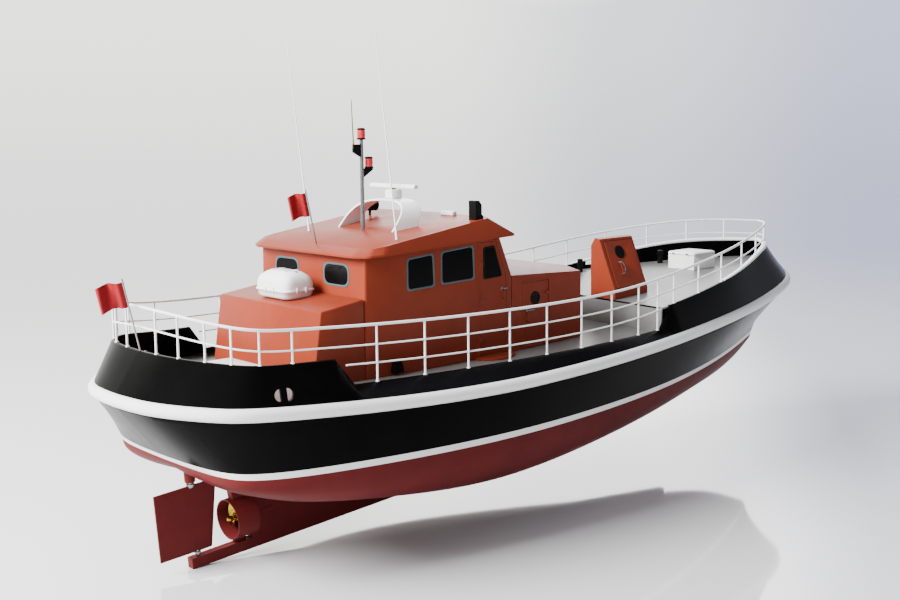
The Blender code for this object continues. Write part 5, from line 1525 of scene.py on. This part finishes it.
# %% Mooring posts
BITT = [(0, 0), (0.085, 0), (0.085, 0.01), (0.055, 0.02), (0.053, 0.24)]
BITT += [(0.062, 0.262), (0.06, 0.28), (0.04, 0.292), (0, 0.295)]
bar = rod_profile(0.02, 0.2, 0.006)
for where, x, y in (("aft", 3.1, 1.55), ("fore", 5.0, 1.0)):
    foot = np.array([x, y, foredeck_height(x) - 0.01])
    node = [f"bitt_{where}"]
    turned_piece(f"{where}_post", BITT, foot, RAISED, FORE, "black_trim", "hull", node)
    bar_end = foot + RAISED * 0.21 - FORE * 0.1
    turned_piece(f"{where}_post_bar", bar, bar_end, FORE, PORT, "black_trim")

# %% [markdown]
# Both flags are plain red cloth that hangs aft from a leaning staff. A cloth simulation would lose
# the cut size as it stretches, so waves are drawn instead, and the cloth's reach is shortened until
# the length along the waves equals the flat length.


# %% Flags
FLY = np.array([-0.72, 0.69, 0.0])


def flag_points(hoist_top, along, height, length, fold, columns=61, rows=25):
    """Rows down the hoist, columns along the fly; waves grow with the distance from the staff."""
    s = np.linspace(0.0, 1.0, columns)[None, :]
    v = np.linspace(0.0, 1.0, rows)[:, None]
    across = np.array([-FLY[1], FLY[0], 0.0])
    wave = np.sin(2.6 * math.pi * s + 0.9 * v) + 0.3 * np.sin(5.4 * math.pi * s - 1.3 * v)
    wave = fold * wave * np.sqrt(s)
    sag = length * (0.15 * s**2 * (1.0 + 0.3 * v) + 0.02 * np.sin(2.6 * math.pi * s))
    reach = length
    for _ in range(12):
        points = hoist_top - along * height * v[..., None] + FLY * (reach * s[..., None])
        points = points + across * wave[..., None] - RAISED * sag[..., None]
        measured = np.linalg.norm(np.diff(points, axis=1), axis=2).sum(1).mean()
        reach *= length / measured
    return points, s, v


def flag_piece(where, foot, head, length, fold):
    """One flag with its cloth map; foot and head are the ends of its staff."""
    foot, head = np.array(foot), np.array(head)
    along = (head - foot) / np.linalg.norm(head - foot)
    hoist = head - along * 0.05 + FLY * 0.0126
    points, s, v = flag_points(hoist, along, HOIST, length, fold)
    faces = grid_faces(*points.shape[:2])
    name = f"{where}_flag"
    node = [f"flag_{where}"]
    cloth = add_piece(name, points, faces, "flag_cloth", "hull", node, sharp=80.0, closed=False)
    place = np.stack(np.broadcast_arrays(s * length, v * HOIST), -1).reshape(-1, 2)
    layer = cloth.data.uv_layers.new(name="cloth")
    corners = np.array([loop.vertex_index for loop in cloth.data.loops])
    layer.data.foreach_set("uv", place[corners].ravel())
    print(name, "of", HOIST, "by", length, "m,", 2 * len(faces), "triangles")


HOIST = 0.36
flag_piece("stern", (-7.635, 0, 1.585), (-7.86, 0, 2.62), 0.5, 0.07)
flag_piece("roof", (-4.65, -0.06, roof_top(-4.65) - 0.04), (-4.83, -0.06, 3.68), 0.38, 0.055)

# %% [markdown]
# What is left of the packed model, such as the staffs, keeps its own mesh. It only takes a finish
# from this lesson, because a plain colour beside painted pieces would stand out.

# %% Finishes of the kept nodes
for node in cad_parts.values():
    for place in node.material_slots:
        place.material = FINISH[place.material.name.split(".")[0]][0]

print("nodes with a finish:", len(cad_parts))

# %% [markdown]
# The boat stands on a pale glossy floor that mirrors it faintly. A square floor would end in a hard
# line, so this one is a disc that grows clear with distance, until the backdrop takes over.


# %% Floor
FLOOR_REACH = 70.0
FADE_FROM = 22.0
FADE_OVER = 28.0


def floor_disc(radius, rings=24, around=96):
    """A flat disc about the boat, in rings, level with the world and so tipped to the boat."""
    r = np.linspace(0.0, 1.0, rings)[:, None] ** 2 * radius
    a = np.linspace(0.0, 2 * math.pi, around, endpoint=False)[None, :]
    x = r * np.cos(a)
    z = HEEL_Z - (x - HEEL_X) * math.tan(TRIM) - 0.002
    return np.stack([x, r * np.sin(a), z], -1)


floor_points = floor_disc(FLOOR_REACH)
floor_mesh = bpy.data.meshes.new("studio_floor")
floor_mesh.from_pydata(floor_points.reshape(-1, 3).tolist(), [], tube(floor_points))
floor_mesh.shade_smooth()
studio_floor = bpy.data.objects.new("studio_floor", floor_mesh)
bpy.context.scene.collection.objects.link(studio_floor)
floor_paint = Paint("studio_floor")
floor_paint.set(Base_Color=(0.78, 0.78, 0.79), Roughness=0.06, Specular_IOR_Level=1.0, IOR=1.9)
length = {"operation": "LENGTH"}
reach = floor_paint.node("ShaderNodeVectorMath", length, {0: floor_paint.place}).out("Value")
floor_paint.set(Alpha=1.0 - ((reach - FADE_FROM) / FADE_OVER).clipped())
floor_mesh.materials.append(floor_paint.material)
studio_floor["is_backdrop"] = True
print("floor of", 2 * FLOOR_REACH, "m")

# %% [markdown]
# A studio lights gloss with what the gloss mirrors. Panels could be hung round the boat, but the
# world can hold them without an edge: a backdrop that is bright at the left and cooler at the
# right with a dark screen beside it, a glow ahead that the roof mirrors, and a soft patch astern.
# Each is a ramp over the angle between the view and one direction.

# %% Backdrop
world = bpy.data.worlds.new("studio")
bpy.context.scene.world = world
world.use_nodes = True
sky = Nodes(world.node_tree)
direction = sky.node("ShaderNodeTexCoord", {}, {}).out("Generated")


def sky_share(towards, stops):
    """A ramp over the angle to a direction: the dot product, moved from -1..1 to 0..1."""
    dot = sky.node("ShaderNodeVectorMath", {"operation": "DOT_PRODUCT"}, {0: direction, 1: towards})
    share = dot.out("Value") * 0.5 + 0.5
    return sky.node("ShaderNodeValToRGB", {"stops": stops}, {"Fac": share}).out()


def sky_math(operation, *inputs):
    """Colour arithmetic between ramps."""
    values = dict(enumerate(inputs))
    return sky.node("ShaderNodeVectorMath", {"operation": operation}, values).out()


def grey(level):
    """A colour without a hue."""
    return (level, level, level)


RIGHTWARD = tuple(CAMERA_RIGHT)
ONWARD = tuple(Vector((CAMERA_FORWARD.x, CAMERA_FORWARD.y, 0.0)).normalized())
COOL_SIDE = (0.80, 0.83, 1.15)
DARK_SCREEN = (0.2, 0.2, 0.24)
backdrop_stops = (
    (0.49, grey(1.9)),
    (0.57, (1.2, 1.22, 1.34)),
    (0.66, COOL_SIDE),
    (0.70, COOL_SIDE),
    (0.76, DARK_SCREEN),
    (0.84, DARK_SCREEN),
    (0.90, (0.7, 0.71, 0.8)),
)
backdrop = sky_share(RIGHTWARD, backdrop_stops)
facing = sky_share(ONWARD, ((0.45, grey(0.42)), (0.90, grey(1.0))))
height = sky_share((0.0, 0.0, 1.0), ((0.46, grey(1.0)), (0.54, (1.3, 1.3, 1.25))))
glow = sky_share((0.693, 0.643, 0.326), ((0.984, grey(0.0)), (0.997, grey(4.0))))
astern = sky_share((-0.8, 0.12, 0.35), ((0.90, grey(0.0)), (1.0, (1.4, 1.45, 1.6))))
seen_ahead = sky_math("MULTIPLY_ADD", sky_math("MULTIPLY", backdrop, height), facing, glow)
sky.feed(sky.tree.nodes["Background"].inputs[0], sky_math("ADD", seen_ahead, astern))
print("nodes of the backdrop:", len(sky.tree.nodes))

# %% [markdown]
# One large lamp high astern gives the soft shadow, and a small one draws a streak of light along
# the quarter. A sun would make the shadow too hard for a studio.


# %% Lamps
def softbox(name, place, target, width, height, watts):
    """A rectangular lamp that faces a point and leaves no bright patch in the floor's gloss."""
    data = bpy.data.lights.new(name, "AREA")
    data.shape = "RECTANGLE"
    data.size = width
    data.size_y = height
    data.energy = watts
    lamp = bpy.data.objects.new(name, data)
    lamp.location = place
    aim = Vector(target) - Vector(place)
    lamp.rotation_mode = "QUATERNION"
    lamp.rotation_quaternion = aim.to_track_quat("-Z", "Y")
    lamp.visible_camera = False
    lamp.visible_glossy = False
    bpy.context.scene.collection.objects.link(lamp)
    print("lamp", name, "of", watts, "W")


softbox("key", (-30.0, 6.0, 20.0), (-3.0, 0.0, 1.5), 20.0, 16.0, 48000.0)
softbox("streak", (-24.0, -4.5, 4.0), (-7.0, -1.5, 1.0), 2.0, 6.0, 700.0)

# %% [markdown]
# The size over all is measured with every dressed piece and printed, because the dress shouldn't
# stand out of the solids it stands for.

# %% Finish
low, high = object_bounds()
print("visual size:", [round(v, 2) for v in high - low])
